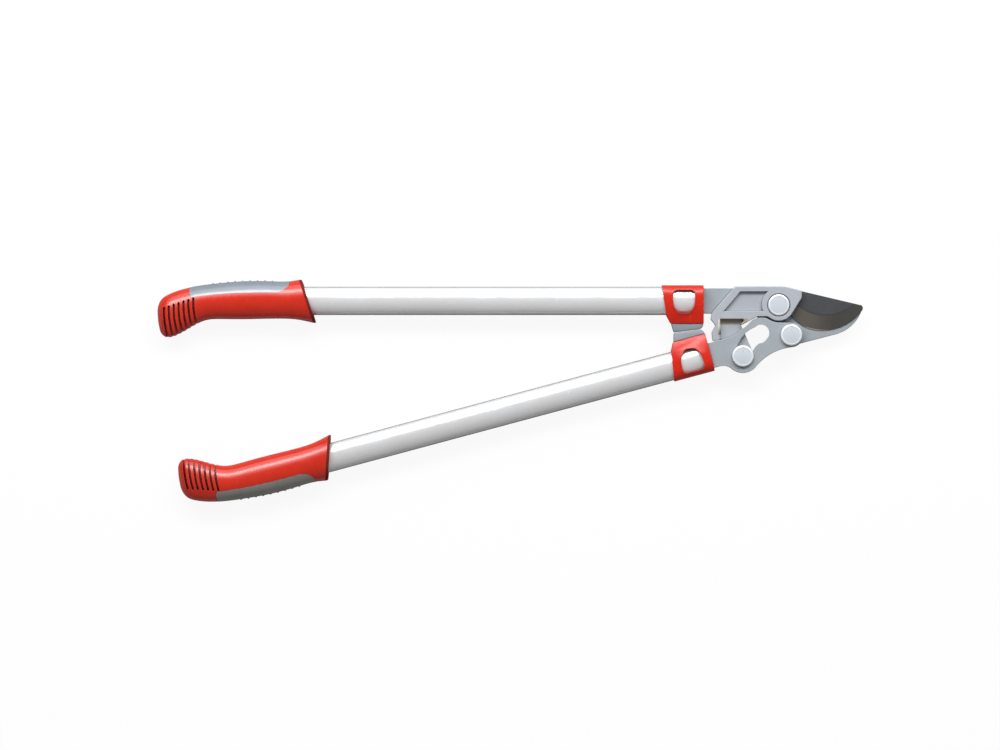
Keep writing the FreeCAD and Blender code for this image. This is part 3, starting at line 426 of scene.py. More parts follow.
# The insert's edge: how far back from the mouth, and how far in from the tube's outer side.
INSERT_EDGE = (
    (126.8, 7.8),
    (124.5, 10.8),
    (115.0, 9.6),
    (100.0, 8.1),
    (85.0, 7.1),
    (70.0, 6.5),
    (55.0, 6.2),
    (42.0, 6.2),
    (35.5, 6.2),
    (31.0, 5.4),
    (27.5, 4.0),
    (24.5, 1.6),
    (22.0, -1.6),
    (20.1, -6.0),
)
OUTER_CLEAR = 40.0
INSERT_PROUD = 0.15
INSERT_THICK = 1.9
POCKET_DEPTH = 2.0
POCKET_GAP = 0.25

ABOVE_GRIP = 100.0
RIB_COUNT = 9
RIB_PITCH = 7.9
RIB_FIRST = 102.3
RIB_BEND = 8.0
RIB_HALF_WIDTH = 1.4
RIB_SINK = 8.6  # from the skin down to the middle of its bend
RIB_FOOT = 2.2  # how deep under the skin it is cut off

GROOVE_COUNT = 7
GROOVE_PITCH = 5.2
GROOVE_FIRST = 153.7
GROOVE_WIDTH = 2.5
GROOVE_BEND = 110.0
GROOVE_DROP = 2.0  # from its upper end down to the centre of its bend
GROOVE_ARC = (179.0, 196.0)
GROOVE_TOP = 7.6  # the first one's upper end, below the handle's axis
GROOVE_CLIMB = 10.2
GROOVE_DEPTH = 3.0
GROOVE_RIM = 0.45


def insert_block(name, grow):
    """A block over the grip's outer side. Its lower edge follows the insert's edge."""
    outer = UPPER_AXIS_Y + TUBE_HALF_HEIGHT
    low = [(MOUTH_X - back, outer - inward - grow) for back, inward in INSERT_EDGE]
    low[0] = (low[0][0] - grow, low[0][1])
    low[1] = (low[1][0] - grow, low[1][1])
    low[-1] = (low[-1][0] + grow, low[-1][1])
    high = [(low[-1][0], outer + OUTER_CLEAR), (low[0][0], outer + OUTER_CLEAR)]
    return through_block(name, low + high)


def insert_ribs(skin):
    """The row of low bent bars across the insert."""
    bpy.context.view_layer.update()
    bars = []
    for index in range(RIB_COUNT):
        x = MOUTH_X - RIB_FIRST + index * RIB_PITCH
        above = Vector((x, ABOVE_GRIP, MID_Z)) * MM
        crest = skin.ray_cast(above, (0, -1, 0))[1].y / MM
        deselect_all()
        bpy.ops.mesh.primitive_torus_add(
            major_segments=48,
            minor_segments=16,
            major_radius=RIB_BEND * MM,
            minor_radius=RIB_HALF_WIDTH * MM,
            location=Vector((x, crest - RIB_SINK, MID_Z)) * MM,
            rotation=(0, math.pi / 2, 0),
        )
        bar = named("rib")
        settle(bar)
        edit_all(bar)
        foot = Vector((x, crest - RIB_FOOT, MID_Z)) * MM
        bpy.ops.mesh.bisect(plane_co=foot, plane_no=(0, 1, 0), use_fill=True, clear_inner=True)
        leave_edit()
        bars.append(bar)
    return join_all(bars)


def groove_slabs():
    """The thin curved slabs that cut the butt's grooves. They lean with the mouth."""
    slabs = []
    start, end = GROOVE_ARC
    for index in range(GROOVE_COUNT):
        share = index / (GROOVE_COUNT - 1)
        x = MOUTH_X - GROOVE_FIRST + index * GROOVE_PITCH
        top = UPPER_AXIS_Y - GROOVE_TOP + share * GROOVE_CLIMB
        centre = (x + GROOVE_BEND, top - GROOVE_DROP)
        tip = arc_points((x, top), GROOVE_WIDTH / 2, 0.0, 180.0, 5)
        outer = arc_points(centre, GROOVE_BEND + GROOVE_WIDTH / 2, start, end, 12)
        inner = arc_points(centre, GROOVE_BEND - GROOVE_WIDTH / 2, end, start, 12)
        slabs.append(through_block("grooves", tip + outer + inner))
    return join_all(slabs)


def grip_insert(form):
    """The soft insert, a hair proud of the hard grip, with its ribs."""
    skin = copy_of(form, "upper_soft_insert")
    swell(skin, INSERT_PROUD)
    ribs = insert_ribs(skin)
    cut(skin, insert_block("insert_trim", 0.0), "INTERSECT")
    cut(skin, ribs, "UNION")
    cut(skin, plain_form("insert_bed", INSERT_THICK, INSERT_THICK))
    smooth(skin, 35)
    return skin


def hard_grip():
    """The hard grip: lipped mouth, pocket for the insert, and grooves round the butt."""
    piece = grip_cage("upper_grip_shell")
    close_mouth(piece)
    apply_modifier(piece, "SUBSURF", levels=2, render_levels=2)
    pocket = insert_block("pocket", POCKET_GAP)
    cut(pocket, plain_form("pocket_bed", POCKET_DEPTH, POCKET_DEPTH))
    cut(piece, pocket)
    slabs = groove_slabs()
    cut(slabs, plain_form("groove_bed", GROOVE_DEPTH, GROOVE_RIM))
    cut(piece, slabs)
    smooth(piece, 35)
    return piece


def make_grips():
    form = plain_form("grip_form")
    on_both_handles(hard_grip(), "upper_grip")
    on_both_handles(grip_insert(form), "upper_grip_insert")
    bpy.data.objects.remove(form)


make_grips()


# ---- Collars, bumpers and tang pins -----------------------------------------------------
# Measured on the upper handle: x from the tube's head end, y from the handle's axis.
COLLAR_HEAD = 6.9
COLLAR_TAIL = (-37.7, -35.9, -32.9, -27.6)
COLLAR_TOP = 16.7
COLLAR_HALF_DEPTH = 12.0
SQUARENESS = 0.66  # 1 for an oval, less for flatter faces
COLLAR_SIDE = ((-5.0, -12.0), (-14.0, -10.6))  # y and z, from the tube down towards the foot
COLLAR_FOOT = -24.1
COLLAR_FOOT_HALF_DEPTH = 8.5
BORE_GAP = 0.1
BORE_PAST = 5.0
WINDOW_ENDS = (-25.7, -2.5)
WINDOW_TOP = 11.6
WINDOW_BOTTOM = -13.3
WINDOW_CORNER = 4.6
WINDOW_SHOULDER = 4.0  # where its sides start to draw in
WINDOW_FULLNESS = 2.4  # 2 for an oval end, more for a squarer one
LIP_WIDTH = 1.3
LIP_HEIGHT = 0.6
TANG_SLOT_X = (-0.5, 9.0)
TANG_SLOT_HALF_HEIGHT = 13.6
TANG_SLOT_Z = (9.45, 19.6)


def on_tube(points):
    """Points measured from the tube's head end and the handle's axis, in plan."""
    return [(TUBE_HEAD_X + x, UPPER_AXIS_Y + y) for x, y in points]


def collar_profile():
    """Broad flat faces with a round back over the tube, drawn in towards the bumper."""
    over = []
    for degrees in range(0, 181, 5):
        reach, rise = square_round(degrees, SQUARENESS)
        over.append((COLLAR_TOP * rise, COLLAR_HALF_DEPTH * reach))
    low = [*COLLAR_SIDE, (COLLAR_FOOT, -COLLAR_FOOT_HALF_DEPTH)]
    back = [(y, -z) for y, z in reversed(low)]
    return [(UPPER_AXIS_Y + y, MID_Z + z) for y, z in over + low + back]


def window_points(grow):
    """The D-shaped window in plan: flat on the outer side, round towards the bumper."""
    left, right = WINDOW_ENDS[0] - grow, WINDOW_ENDS[1] + grow
    top, bottom = WINDOW_TOP + grow, WINDOW_BOTTOM - grow
    corner = WINDOW_CORNER + grow / 2
    middle, half, drop = (left + right) / 2, (right - left) / 2, WINDOW_SHOULDER - bottom
    points = arc_points((right - corner, top - corner), corner, 0, 90, 7)
    points += arc_points((left + corner, top - corner), corner, 90, 180, 7)
    for degrees in range(180, 361, 6):
        across, up = square_round(degrees, 2 / WINDOW_FULLNESS)
        points.append((middle + half * across, WINDOW_SHOULDER + drop * up))
    return on_tube(points)


def collar():
    """The moulded collar, with a lipped window on each face."""
    tail, head = TUBE_HEAD_X + COLLAR_TAIL[0], TUBE_HEAD_X + COLLAR_HEAD
    piece = bar_along("upper_collar_shell", collar_profile(), tail, head)
    over, under, past = COLLAR_TOP + OVERRUN, COLLAR_FOOT - OVERRUN, COLLAR_HEAD + OVERRUN
    plan = list(zip(COLLAR_TAIL, (over, COLLAR_TOP / 4, -TUBE_HALF_HEIGHT, under)))
    plan += [(past, under), (past, over)]
    cut(piece, through_block("collar_plan", on_tube(plan)), "INTERSECT")
    round_edges(piece, width=0.7, angle=28, segments=3)
    lip = copy_of(piece, "window_lip")
    swell(lip, LIP_HEIGHT)
    cut(lip, through_block("lip_plan", window_points(LIP_WIDTH)), "INTERSECT")
    cut(piece, lip, "UNION")
    cut(piece, through_block("window", window_points(0.0)))
    half_height, half_depth = TUBE_HALF_HEIGHT + BORE_GAP, TUBE_HALF_DEPTH + BORE_GAP
    cut(piece, oval_bar("bore", half_height, half_depth, tail - BORE_PAST, TUBE_HEAD_X + BORE_GAP))
    back, ahead = TANG_SLOT_X
    up = TANG_SLOT_HALF_HEIGHT
    slot = on_tube([(back, -up), (ahead, -up), (ahead, up), (back, up)])
    cut(piece, prism("tang_slot", slot, *TANG_SLOT_Z))
    round_edges(piece, width=0.28, angle=50, segments=2)
    smooth(piece, 30)
    return piece


BUMPER_TAIL = -25.1
BUMPER_HEAD = 6.1
BUMPER_HALF_DEPTH = 7.5
BUMPER_CORNER = 1.1
BUMPER_NOSE = 3.0  # how far from its head corner the rounding starts
BUMPER_NOSE_CUT = 0.9  # and how far in the rounding's middle point lies
STOP_GAP = 0.3


def stop_line(x):
    """The bumper's face, half the gap off the line midway between the handles."""
    run = HANDLE_CROSS_X - (TUBE_HEAD_X + x)
    return -run * math.tan(math.radians(HANDLE_ANGLE / 2)) + STOP_GAP / 2


def bumper():
    """The soft stop, a rounded block under the collar's foot."""
    tail, head = BUMPER_TAIL, BUMPER_HEAD
    points = [
        (COLLAR_TAIL[3], COLLAR_FOOT),
        (tail, stop_line(tail) + BUMPER_CORNER),
        (tail + BUMPER_CORNER, stop_line(tail + BUMPER_CORNER)),
        (head - BUMPER_NOSE, stop_line(head - BUMPER_NOSE)),
        (head - BUMPER_NOSE_CUT, stop_line(head) + BUMPER_NOSE_CUT),
        (head, stop_line(head) + BUMPER_NOSE),
        (COLLAR_HEAD, COLLAR_FOOT),
    ]
    low, high = MID_Z - BUMPER_HALF_DEPTH, MID_Z + BUMPER_HALF_DEPTH
    block = prism("upper_soft_bumper", on_tube(points), low, high)
    round_edges(block, width=0.9, angle=35, segments=3)
    smooth(block, 35)
    return block


PIN_PLACES = ((-8.1, 5.0), (-30.5, -5.0))
PIN_RADIUS = 2.0
PIN_REACH = 11.0
PIN_UNDER_SKIN = 0.05
PINNED_LENGTH = 45.0


def tang_pins(name, side):
    """The two pins through the tube, dressed off flush with its skin."""
    centres = on_tube([(x, side * y) for x, y in PIN_PLACES])
    low, high = MID_Z - PIN_REACH, MID_Z + PIN_REACH
    piece = join_all([disc(name, centre, PIN_RADIUS, low, high, 48) for centre in centres])
    half_height, half_depth = TUBE_HALF_HEIGHT - PIN_UNDER_SKIN, TUBE_HALF_DEPTH - PIN_UNDER_SKIN
    tail = TUBE_HEAD_X - PINNED_LENGTH
    cut(piece, oval_bar("tube_skin", half_height, half_depth, tail, TUBE_HEAD_X, 240), "INTERSECT")
    round_edges(piece, width=0.12, angle=50, segments=1)
    smooth(piece, 30)
    return piece


def make_collars():
    stand_for(tang_pins("upper_flush_pins", -1), "hook_handle", "upper_tang_pins")
    lower_pins = swing_to_lower(tang_pins("lower_flush_pins", 1))
    stand_for(lower_pins, "lever_handle", "lower_tang_pins")
    on_both_handles(collar(), "upper_collar")
    on_both_handles(bumper(), "upper_bumper")


make_collars()


# ---- Caps, bolts and washer -------------------------------------------------------------
HOOK_UNDER_Z = 9.55
BLADE_UNDER_Z = 14.75
MAIN_CAP_Z = 22.35
SIDE_CAP_Z = 24.55
CAP_RADIUS = 11.5
CAP_HEIGHT = 4.6
CAP_CROWN = 0.45
CAP_RIM = 1.75
# The steps of a cap's face, from its rim to its middle: how far in, and how far up.
CAP_STEPS = ((0.25, 0.0), (0.2, -0.16), (0.5, 0.0), (2.6, 0.26), (2.8, 0.16), (2.2, 0.05))
CAP_BORE_DEPTH = 2.8
FIT = 0.05
MAIN_SHANK, LEVER_SHANK, DRIVE_SHANK = 6.0, 5.0, 4.0
MAIN_FLATS, LEVER_FLATS = 19.0, 16.0
LEVER_HEAD_HEIGHT = 5.0
DRIVE_HEAD_RADIUS = 8.0
DRIVE_HEAD_HEIGHT = 2.4
DRIVE_HEAD_DOME = 0.8
DRIVER_SLOT_HALF = (9.0, 0.7)
DRIVER_SLOT_DEPTH = 1.1
HEAD_CHAMFER = 0.55
HEAD_CLEAR = 0.2
SHANK_ROOT = 0.5  # how far the shank runs into its head
DISH_SHARE = 0.32
DISH_DEPTH = 0.5
THREAD_PITCH = 1.5
THREAD_DEPTH = 0.5
THREAD_PROUD = 0.22
THREAD_ENDS = (5.2, 0.4)  # below the bolt's end
WASHER_THICK = 1.5
WASHER_RADIUS = 12.0


def cap(name, centre, bottom, bolt_radius):
    """A round cap: bevelled rim, a fine step, and a face with a shallow crown."""
    piece = disc(name, centre, CAP_RADIUS, bottom, bottom + CAP_HEIGHT - CAP_CROWN)
    bevel_end(piece, 1, CAP_RIM, segments=5, profile=0.42)
    edit_faces(piece, lambda face: face.normal.z > 0.999 and len(face.vertices) > 8)
    for inset, rise in CAP_STEPS:
        bpy.ops.mesh.inset(thickness=inset * MM, depth=rise * MM, use_even_offset=True)
    leave_edit()
    bore_end = bottom + CAP_BORE_DEPTH
    cut(piece, disc("cap_bore", centre, bolt_radius + FIT, bottom - OVERRUN, bore_end, 48))
    smooth(piece, 32)
    return piece


def thread(piece, centre, shank, end):
    """Cuts a row of V grooves round a bolt's end, close to what its thread shows."""
    bottom, top = (end - below for below in THREAD_ENDS)
    for index in range(int((top - bottom) / THREAD_PITCH)):
        z = bottom + (index + 0.5) * THREAD_PITCH
        deselect_all()
        bpy.ops.mesh.primitive_torus_add(
            major_segments=52,
            minor_segments=4,
            major_radius=(shank + THREAD_PROUD) * MM,
            minor_radius=THREAD_DEPTH * MM,
            location=Vector((centre[0], centre[1], z)) * MM,
        )
        groove = named("groove")
        settle(groove)
        cut(piece, groove)


def hex_bolt(name, centre, flats, shank, under, seat, end):
    """A bolt: chamfered hexagon head with a dished end, and a shank up through the stack."""
    radius = flats / math.sqrt(3)
    head = disc(name, centre, radius, under, seat, points=6)
    rounding = disc("head_rounding", centre, radius + HEAD_CLEAR, under, seat)
    bevel_end(rounding, -1, radius - flats / 2 + HEAD_CHAMFER, segments=1)
    cut(head, rounding, "INTERSECT")
    cut(head, disc("dish", centre, flats * DISH_SHARE, under - OVERRUN, under + DISH_DEPTH, 64))
    round_edges(head, width=0.25, angle=25, segments=2)
    cut(head, disc("shank", centre, shank, seat - SHANK_ROOT, end, 64), "UNION")
    thread(head, centre, shank, end)
    smooth(head, 32)
    return head


def round_bolt(name, centre, head_radius, shank, under, seat, end):
    """The drive pin's bolt, with a low domed head and a driving slot."""
    piece = disc(name, centre, head_radius, under, seat, points=72)
    bevel_end(piece, -1, DRIVE_HEAD_DOME, segments=4)
    x, y = centre
    half_long, half_wide = DRIVER_SLOT_HALF
    corners = ((-1, -1), (1, -1), (1, 1), (-1, 1))
    slot = [(x + along * half_long, y + across * half_wide) for along, across in corners]
    cut(piece, prism("driver_slot", slot, under - OVERRUN, under + DRIVER_SLOT_DEPTH))
    cut(piece, disc("shank", centre, shank, seat - SHANK_ROOT, end, 48), "UNION")
    smooth(piece, 32)
    return piece


def washer(name, centre, outer, inner, bottom, top):
    """A stamped washer with both rims rounded over."""
    piece = disc(name, centre, outer, bottom, top)
    cut(piece, disc("washer_hole", centre, inner, bottom - OVERRUN, top + OVERRUN, 64))
    round_edges(piece, width=0.3, angle=40, segments=3)
    smooth(piece, 40)
    return piece


def make_fasteners():
    for node, body, centre, cap_z, shank in (
        ("main_cap", "hook_handle", MAIN_PIVOT, MAIN_CAP_Z, MAIN_SHANK),
        ("lever_cap", "hook_handle", LEVER_PIVOT, SIDE_CAP_Z, LEVER_SHANK),
        ("drive_cap", "blade_unit", DRIVE_PIN, SIDE_CAP_Z, DRIVE_SHANK),
    ):
        stand_for(cap(f"{node}_disc", centre, cap_z, shank), body, node)

    main_end, side_end = MAIN_CAP_Z + CAP_BORE_DEPTH, SIDE_CAP_Z + CAP_BORE_DEPTH
    washer_z = HOOK_UNDER_Z - WASHER_THICK
    bolt = hex_bolt("main_hex_bolt", MAIN_PIVOT, MAIN_FLATS, MAIN_SHANK, 0.0, washer_z, main_end)
    stand_for(bolt, "hook_handle", "main_bolt")
    under = HOOK_UNDER_Z - LEVER_HEAD_HEIGHT
    bolt = hex_bolt("lever_hex_bolt", LEVER_PIVOT, LEVER_FLATS, LEVER_SHANK, under, HOOK_UNDER_Z, side_end)
    stand_for(bolt, "hook_handle", "lever_bolt")
    head, under = (DRIVE_HEAD_RADIUS, DRIVE_SHANK), BLADE_UNDER_Z - DRIVE_HEAD_HEIGHT
    bolt = round_bolt("drive_round_bolt", DRIVE_PIN, *head, under, BLADE_UNDER_Z, side_end)
    stand_for(bolt, "blade_unit", "drive_bolt")
    ring = (WASHER_RADIUS, MAIN_SHANK + FIT, washer_z, HOOK_UNDER_Z)
    stand_for(washer("main_plain_washer", MAIN_PIVOT, *ring), "hook_handle", "main_washer")


make_fasteners()


# ---- Laying nodes -----------------------------------------------------------------------
WHITE = (1.0, 1.0, 1.0, 1.0)


def shade(red, green, blue):
    """A colour from its display values, 0 to 255."""
    parts = [value / 255 for value in (red, green, blue)]
    linear = [p / 12.92 if p <= 0.04045 else ((p + 0.055) / 1.055) ** 2.4 for p in parts]
    return (*linear, 1.0)


def emptied(block):
    """The nodes of a new material or world, with none laid yet."""
    block.use_nodes = True
    block.node_tree.nodes.clear()
    return block.node_tree


class Graph:
    """Nodes as they are laid in a material, in the world or in a shared effect.

    A value is a number or a colour, or else the socket that gives it.
    """

    def __init__(self, tree):
        self.tree = tree

    def feed(self, sockets, values):
        """Gives each socket its value."""
        for socket, value in zip(sockets, values):
            if isinstance(value, bpy.types.NodeSocket):
                self.tree.links.new(value, socket)
            else:
                socket.default_value = value

    def put(self, kind, settings=None, **inputs):
        """Adds a node with its settings, and its inputs by name."""
        node = self.tree.nodes.new("ShaderNode" + kind)
        for key, value in (settings or {}).items():
            setattr(node, key, value)
        self.fill_in(node, **inputs)
        return node

    def fill_in(self, node, **inputs):
        """Gives a node's inputs their values by name."""
        self.feed([node.inputs[label.replace("_", " ")] for label in inputs], inputs.values())

    def step(self, operation, *values, clamp=False):
        """One step of arithmetic on numbers."""
        node = self.put("Math", {"operation": operation, "use_clamp": clamp})
        self.feed(node.inputs, values)
        return node.outputs[0]

    def times(self, first, second):
        return self.step("MULTIPLY", first, second)

    def raised(self, start, mask, amount, clamp=True):
        """A value raised by an amount where a mask is, and clamped between 0 and 1 if asked."""
        return self.step("MULTIPLY_ADD", mask, amount, start, clamp=clamp)

    def vector_step(self, operation, *values):
        """One step of arithmetic on vectors."""
        node = self.put("VectorMath", {"operation": operation})
        self.feed(node.inputs, values)
        return node.outputs

    def ramp(self, value, low, high, out_low=0.0, out_high=1.0):
        """Spreads a value between two levels over another range, with soft ends."""
        levels = {"From_Min": low, "From_Max": high, "To_Min": out_low, "To_Max": out_high}
        node = self.put("MapRange", {"interpolation_type": "SMOOTHSTEP"}, Value=value, **levels)
        return node.outputs["Result"]

    def blend(self, share, first, second):
        """Mixes two colours by a mask."""
        node = self.put("Mix", {"data_type": "RGBA"})
        self.feed((node.inputs[0], node.inputs[6], node.inputs[7]), (share, first, second))
        return node.outputs[2]

    def mix_shaders(self, share, first, second):
        node = self.put("MixShader", Fac=share)
        self.feed(node.inputs[1:], (first.outputs[0], second.outputs[0]))
        return node.outputs[0]

    def noise(self, place, scale, detail=2.0):
        return self.put("TexNoise", Vector=place, Scale=scale, Detail=detail).outputs[0]

    def radius(self, place):
        """How far a place is from the Z axis."""
        split = self.put("SeparateXYZ", Vector=place).outputs
        flat = self.put("CombineXYZ", X=split["X"], Y=split["Y"])
        return self.vector_step("LENGTH", flat.outputs[0])["Value"]


# ---- Shared surface effects -------------------------------------------------------------
class Effect(Graph):
    """A shared effect: a group with named inputs and outputs, given as lists of words."""

    KINDS = {"Vector": "Vector", "Light": "Color", "Dark": "Color", "Color": "Color"}

    def __init__(self, name, takes, gives):
        super().__init__(bpy.data.node_groups.new(name, "ShaderNodeTree"))
        for side, labels in (("INPUT", takes), ("OUTPUT", gives)):
            for label in labels.split():
                kind = "NodeSocket" + self.KINDS.get(label, "Float")
                self.tree.interface.new_socket(label, in_out=side, socket_type=kind)
        self.start = self.tree.nodes.new("NodeGroupInput").outputs
        self.end = self.tree.nodes.new("NodeGroupOutput").inputs

    def give(self, **results):
        self.feed([self.end[label] for label in results], results.values())
        return self.tree


def mottle_effect():
    """Soft cloudy patches between two colours."""
    it = Effect("mottle", "Vector Scale Contrast Light Dark", "Color")
    cloud = it.noise(it.start["Vector"], it.start["Scale"], detail=5.0)
    mask = it.raised(0.5, it.step("SUBTRACT", cloud, 0.5), it.start["Contrast"])
    return it.give(Color=it.blend(mask, it.start["Light"], it.start["Dark"]))


def grain_effect():
    """The fine texture of a mould, a casting or a blasted plate, for bump and roughness."""
    it = Effect("surface_grain", "Vector Scale Smoothest Roughest", "Height Roughness")
    place, scale = it.start["Vector"], it.start["Scale"]
    pit_depth, patch_scale = 0.4, 0.05
    pits = it.put("TexVoronoi", Vector=place, Scale=scale).outputs["Distance"]
    height = it.raised(it.noise(place, scale, detail=3.0), pits, pit_depth, clamp=False)
    patches = it.noise(place, it.times(scale, patch_scale), detail=4.0)
    rough = it.ramp(patches, 0.3, 0.7, it.start["Smoothest"], it.start["Roughest"])
    return it.give(Height=height, Roughness=rough)


def drawn_effect():
    """Fine lines along X, as a drawing die leaves on a tube."""
    it = Effect("drawn_lines", "Vector Spacing Stretch", "Height Mask")
    squeeze = it.put("CombineXYZ", X=it.step("DIVIDE", 1.0, it.start["Stretch"]), Y=1.0, Z=1.0)
    along = it.vector_step("MULTIPLY", it.start["Vector"], squeeze.outputs[0])[0]
    density = it.step("DIVIDE", 1.0, it.start["Spacing"])
    lines = it.put("TexNoise", Vector=along, Scale=density, Detail=4.0, Roughness=0.65).outputs[0]
    return it.give(Height=lines, Mask=it.ramp(lines, 0.38, 0.62))


def turned_effect():
    """Fine rings about the Z axis, as a lathe or a grinding wheel leaves them."""
    it = Effect("turned_rings", "Vector Pitch Waver", "Height Mask")
    place, waver_scale = it.start["Vector"], 60.0
    shift = it.times(it.noise(place, waver_scale), it.start["Waver"])
    turns = it.step("DIVIDE", it.step("ADD", it.radius(place), shift), it.start["Pitch"])
    rings = it.put("TexNoise", {"noise_dimensions": "1D"}, W=turns, Scale=1.0, Detail=3.0).outputs[0]
    return it.give(Height=rings, Mask=it.ramp(rings, 0.35, 0.65))


def edge_effect():
    """A mask along the piece's edges, broken up so that wear comes in patches."""
    it = Effect("edge_wear", "Vector Width Scale Patchy", "Mask")
    soft = it.put("Bevel", {"samples": 6}, Radius=it.start["Width"]).outputs["Normal"]
    sharp = it.put("NewGeometry").outputs["Normal"]
    edge = it.ramp(it.vector_step("DOT_PRODUCT", soft, sharp)["Value"], 0.995, 0.93)
    broken = it.ramp(it.noise(it.start["Vector"], it.start["Scale"], detail=4.0), 0.35, 0.6)
    whole = it.step("SUBTRACT", 1.0, it.start["Patchy"])
    return it.give(Mask=it.times(edge, it.raised(whole, broken, it.start["Patchy"])))


def scuff_effect():
    """Scattered short scratches."""
    it = Effect("scuffs", "Vector Scale Amount", "Mask")
    place = it.start["Vector"]
    bend_scale, bend_reach, line_width = 30.0, 0.012, 0.022
    bend = it.put("TexNoise", Vector=place, Scale=bend_scale).outputs["Color"]
    push = it.vector_step("MULTIPLY", bend, (bend_reach,) * 3)[0]
    bent = it.vector_step("ADD", place, push)[0]
    long = it.put("Mapping", Vector=bent, Rotation=(0.3, 0.2, 0.9), Scale=(1.0, 0.12, 0.6)).outputs[0]
    to_edge = {"feature": "DISTANCE_TO_EDGE"}
    cells = it.put("TexVoronoi", to_edge, Vector=long, Scale=it.start["Scale"]).outputs["Distance"]
    line = it.ramp(cells, line_width, 0.0)
    limit = it.step("SUBTRACT", 0.74, it.times(it.start["Amount"], 0.25))
    where = it.ramp(it.noise(place, 170.0), limit, it.step("ADD", limit, 0.08))
    breaks = it.ramp(it.noise(place, 520.0), 0.42, 0.55)
    return it.give(Mask=it.times(it.times(line, breaks), where))


def hollow_shade_effect():
    """A mask in grooves and close corners, for the shade that is painted where light hardly reaches."""
    it = Effect("hollows", "Reach Depth", "Mask")
    open_share = it.put("AmbientOcclusion", {"samples": 8}, Distance=it.start["Reach"]).outputs["AO"]
    closed = it.step("SUBTRACT", 1.0, open_share)
    full = it.step("SUBTRACT", 1.0, it.start["Depth"])
    return it.give(Mask=it.ramp(closed, 0.25, full))


MOTTLE = mottle_effect()
GRAIN = grain_effect()
DRAWN = drawn_effect()
TURNED = turned_effect()
EDGE = edge_effect()
SCUFF = scuff_effect()
HOLLOW_SHADE_GROUP = hollow_shade_effect()


# ---- Finishes ---------------------------------------------------------------------------
class Finish(Graph):
    """A material as it is built up: its colour so far, and the place on the piece.

    Colours are display values, 0 to 255, and lengths are in millimetres.
    """

    def __init__(self, name, metallic=0.0, turn=0.0, centre=(0.0, 0.0)):
        self.material = bpy.data.materials.new(name)
        super().__init__(emptied(self.material))
        self.shader = self.put("BsdfPrincipled", Metallic=metallic)
        self.put("OutputMaterial", Surface=self.shader.outputs[0])
        self.unturned = self.place = self.put("TexCoord").outputs["Object"]
        if turn or any(centre):
            where = {
                "Location": (centre[0] * MM, centre[1] * MM, 0.0),
                "Rotation": (0.0, 0.0, math.radians(turn)),
            }
            middle = self.put("Mapping", {"vector_type": "TEXTURE"}, Vector=self.place, **where)
            self.place = middle.outputs[0]

    def use(self, effect, **inputs):
        """Places a shared effect with this finish's own values."""
        return self.put("Group", {"node_tree": effect}, **inputs).outputs

    def mottle(self, light, dark, scale, contrast):
        """Lays the ground colour, cloudy between two tones."""
        tones = {"Light": shade(*light), "Dark": shade(*dark)}
        self.colour = self.use(MOTTLE, Vector=self.place, Scale=scale, Contrast=contrast, **tones)["Color"]

    def grain(self, scale, smoothest, roughest):
        return self.use(GRAIN, Vector=self.place, Scale=scale, Smoothest=smoothest, Roughest=roughest)

    def rings(self, pitch, waver):
        return self.use(TURNED, Vector=self.place, Pitch=pitch * MM, Waver=waver * MM)

    def edges(self, width, scale, patchy):
        return self.use(EDGE, Vector=self.place, Width=width * MM, Scale=scale, Patchy=patchy)["Mask"]

    def scuffs(self, scale, amount, place=None):
        return self.use(SCUFF, Vector=place or self.place, Scale=scale, Amount=amount)["Mask"]

    # A mask for painted shade in grooves and close corners.
    def hollows(self, reach, depth):
        return self.use(HOLLOW_SHADE_GROUP, Reach=reach * MM, Depth=depth)["Mask"]

    def split(self):
        """The place's distances along X and Y."""
        parts = self.put("SeparateXYZ", Vector=self.place).outputs
        return parts["X"], parts["Y"]

    def ramp_mm(self, value, low, high):
        """A mask that rises from one distance to another."""
        return self.ramp(value, low * MM, high * MM)

    def tint(self, mask, colour, share=1.0):
        """Lays a colour over the one so far where a mask is, at a share of its strength."""
        strength = mask if share == 1.0 else self.times(mask, share)
        self.colour = self.blend(strength, self.colour, shade(*colour))

    def close(self, roughness, height, strength, depth, rounding=0.0):
        """Feeds the shader its colour, roughness and bump, and gives the finished material."""
        bump = self.put("Bump", Height=height, Strength=strength, Distance=depth * MM)
        if rounding:
            soft = self.put("Bevel", {"samples": 6}, Radius=rounding * MM)
            self.fill_in(bump, Normal=soft.outputs["Normal"])
        relief = bump.outputs[0]
        self.fill_in(self.shader, Base_Color=self.colour, Roughness=roughness, Normal=relief)
        return self.material


TUBE_SIDE_SHADE = (13.3, 14.9)  # off the axis, where the tube's skin turns away and shade is painted along its sides
LIP_BACK = (2.4, 1.6)  # behind the mouth's edge, where the shade painted along the lip starts and is full
RIM_HIGHLIGHT = (2.3, 1.7)  # in from a cap's edge, where the painted highlight on its rim starts and is full


def patch_mask(finish, along, across, soft):
    """A mask over a rectangle in plan. Each side fades out over its own soft distance."""
    masks = []
    for distance, (low, high), fade in zip(finish.split(), (along, across), soft):
        rise = finish.ramp_mm(distance, low - fade, low)
        fall = finish.ramp_mm(distance, high + fade, high)
        masks.append(finish.times(rise, fall))
    return finish.times(*masks)


def lip_shade_mask(finish, side):
    """A mask along the grip's slanted mouth, for the shade painted there. Side is 1 on the upper handle,
    -1 on the lower.
    """
    outer_back, inner_back, outer, inner, _ = GRIP_SECTIONS[0]
    run, drop = outer_back - inner_back, 2 * TUBE_HALF_HEIGHT + outer + inner
    length = math.hypot(run, drop)
    square_on = (drop / length, side * run / length, 0.0)
    ahead = finish.vector_step("DOT_PRODUCT", finish.place, square_on)["Value"]
    edge = ((MOUTH_X - HANDLE_CROSS_X - outer_back) * drop + (TUBE_HALF_HEIGHT + outer) * run) / length
    return finish.ramp_mm(ahead, *(edge - back for back in LIP_BACK))


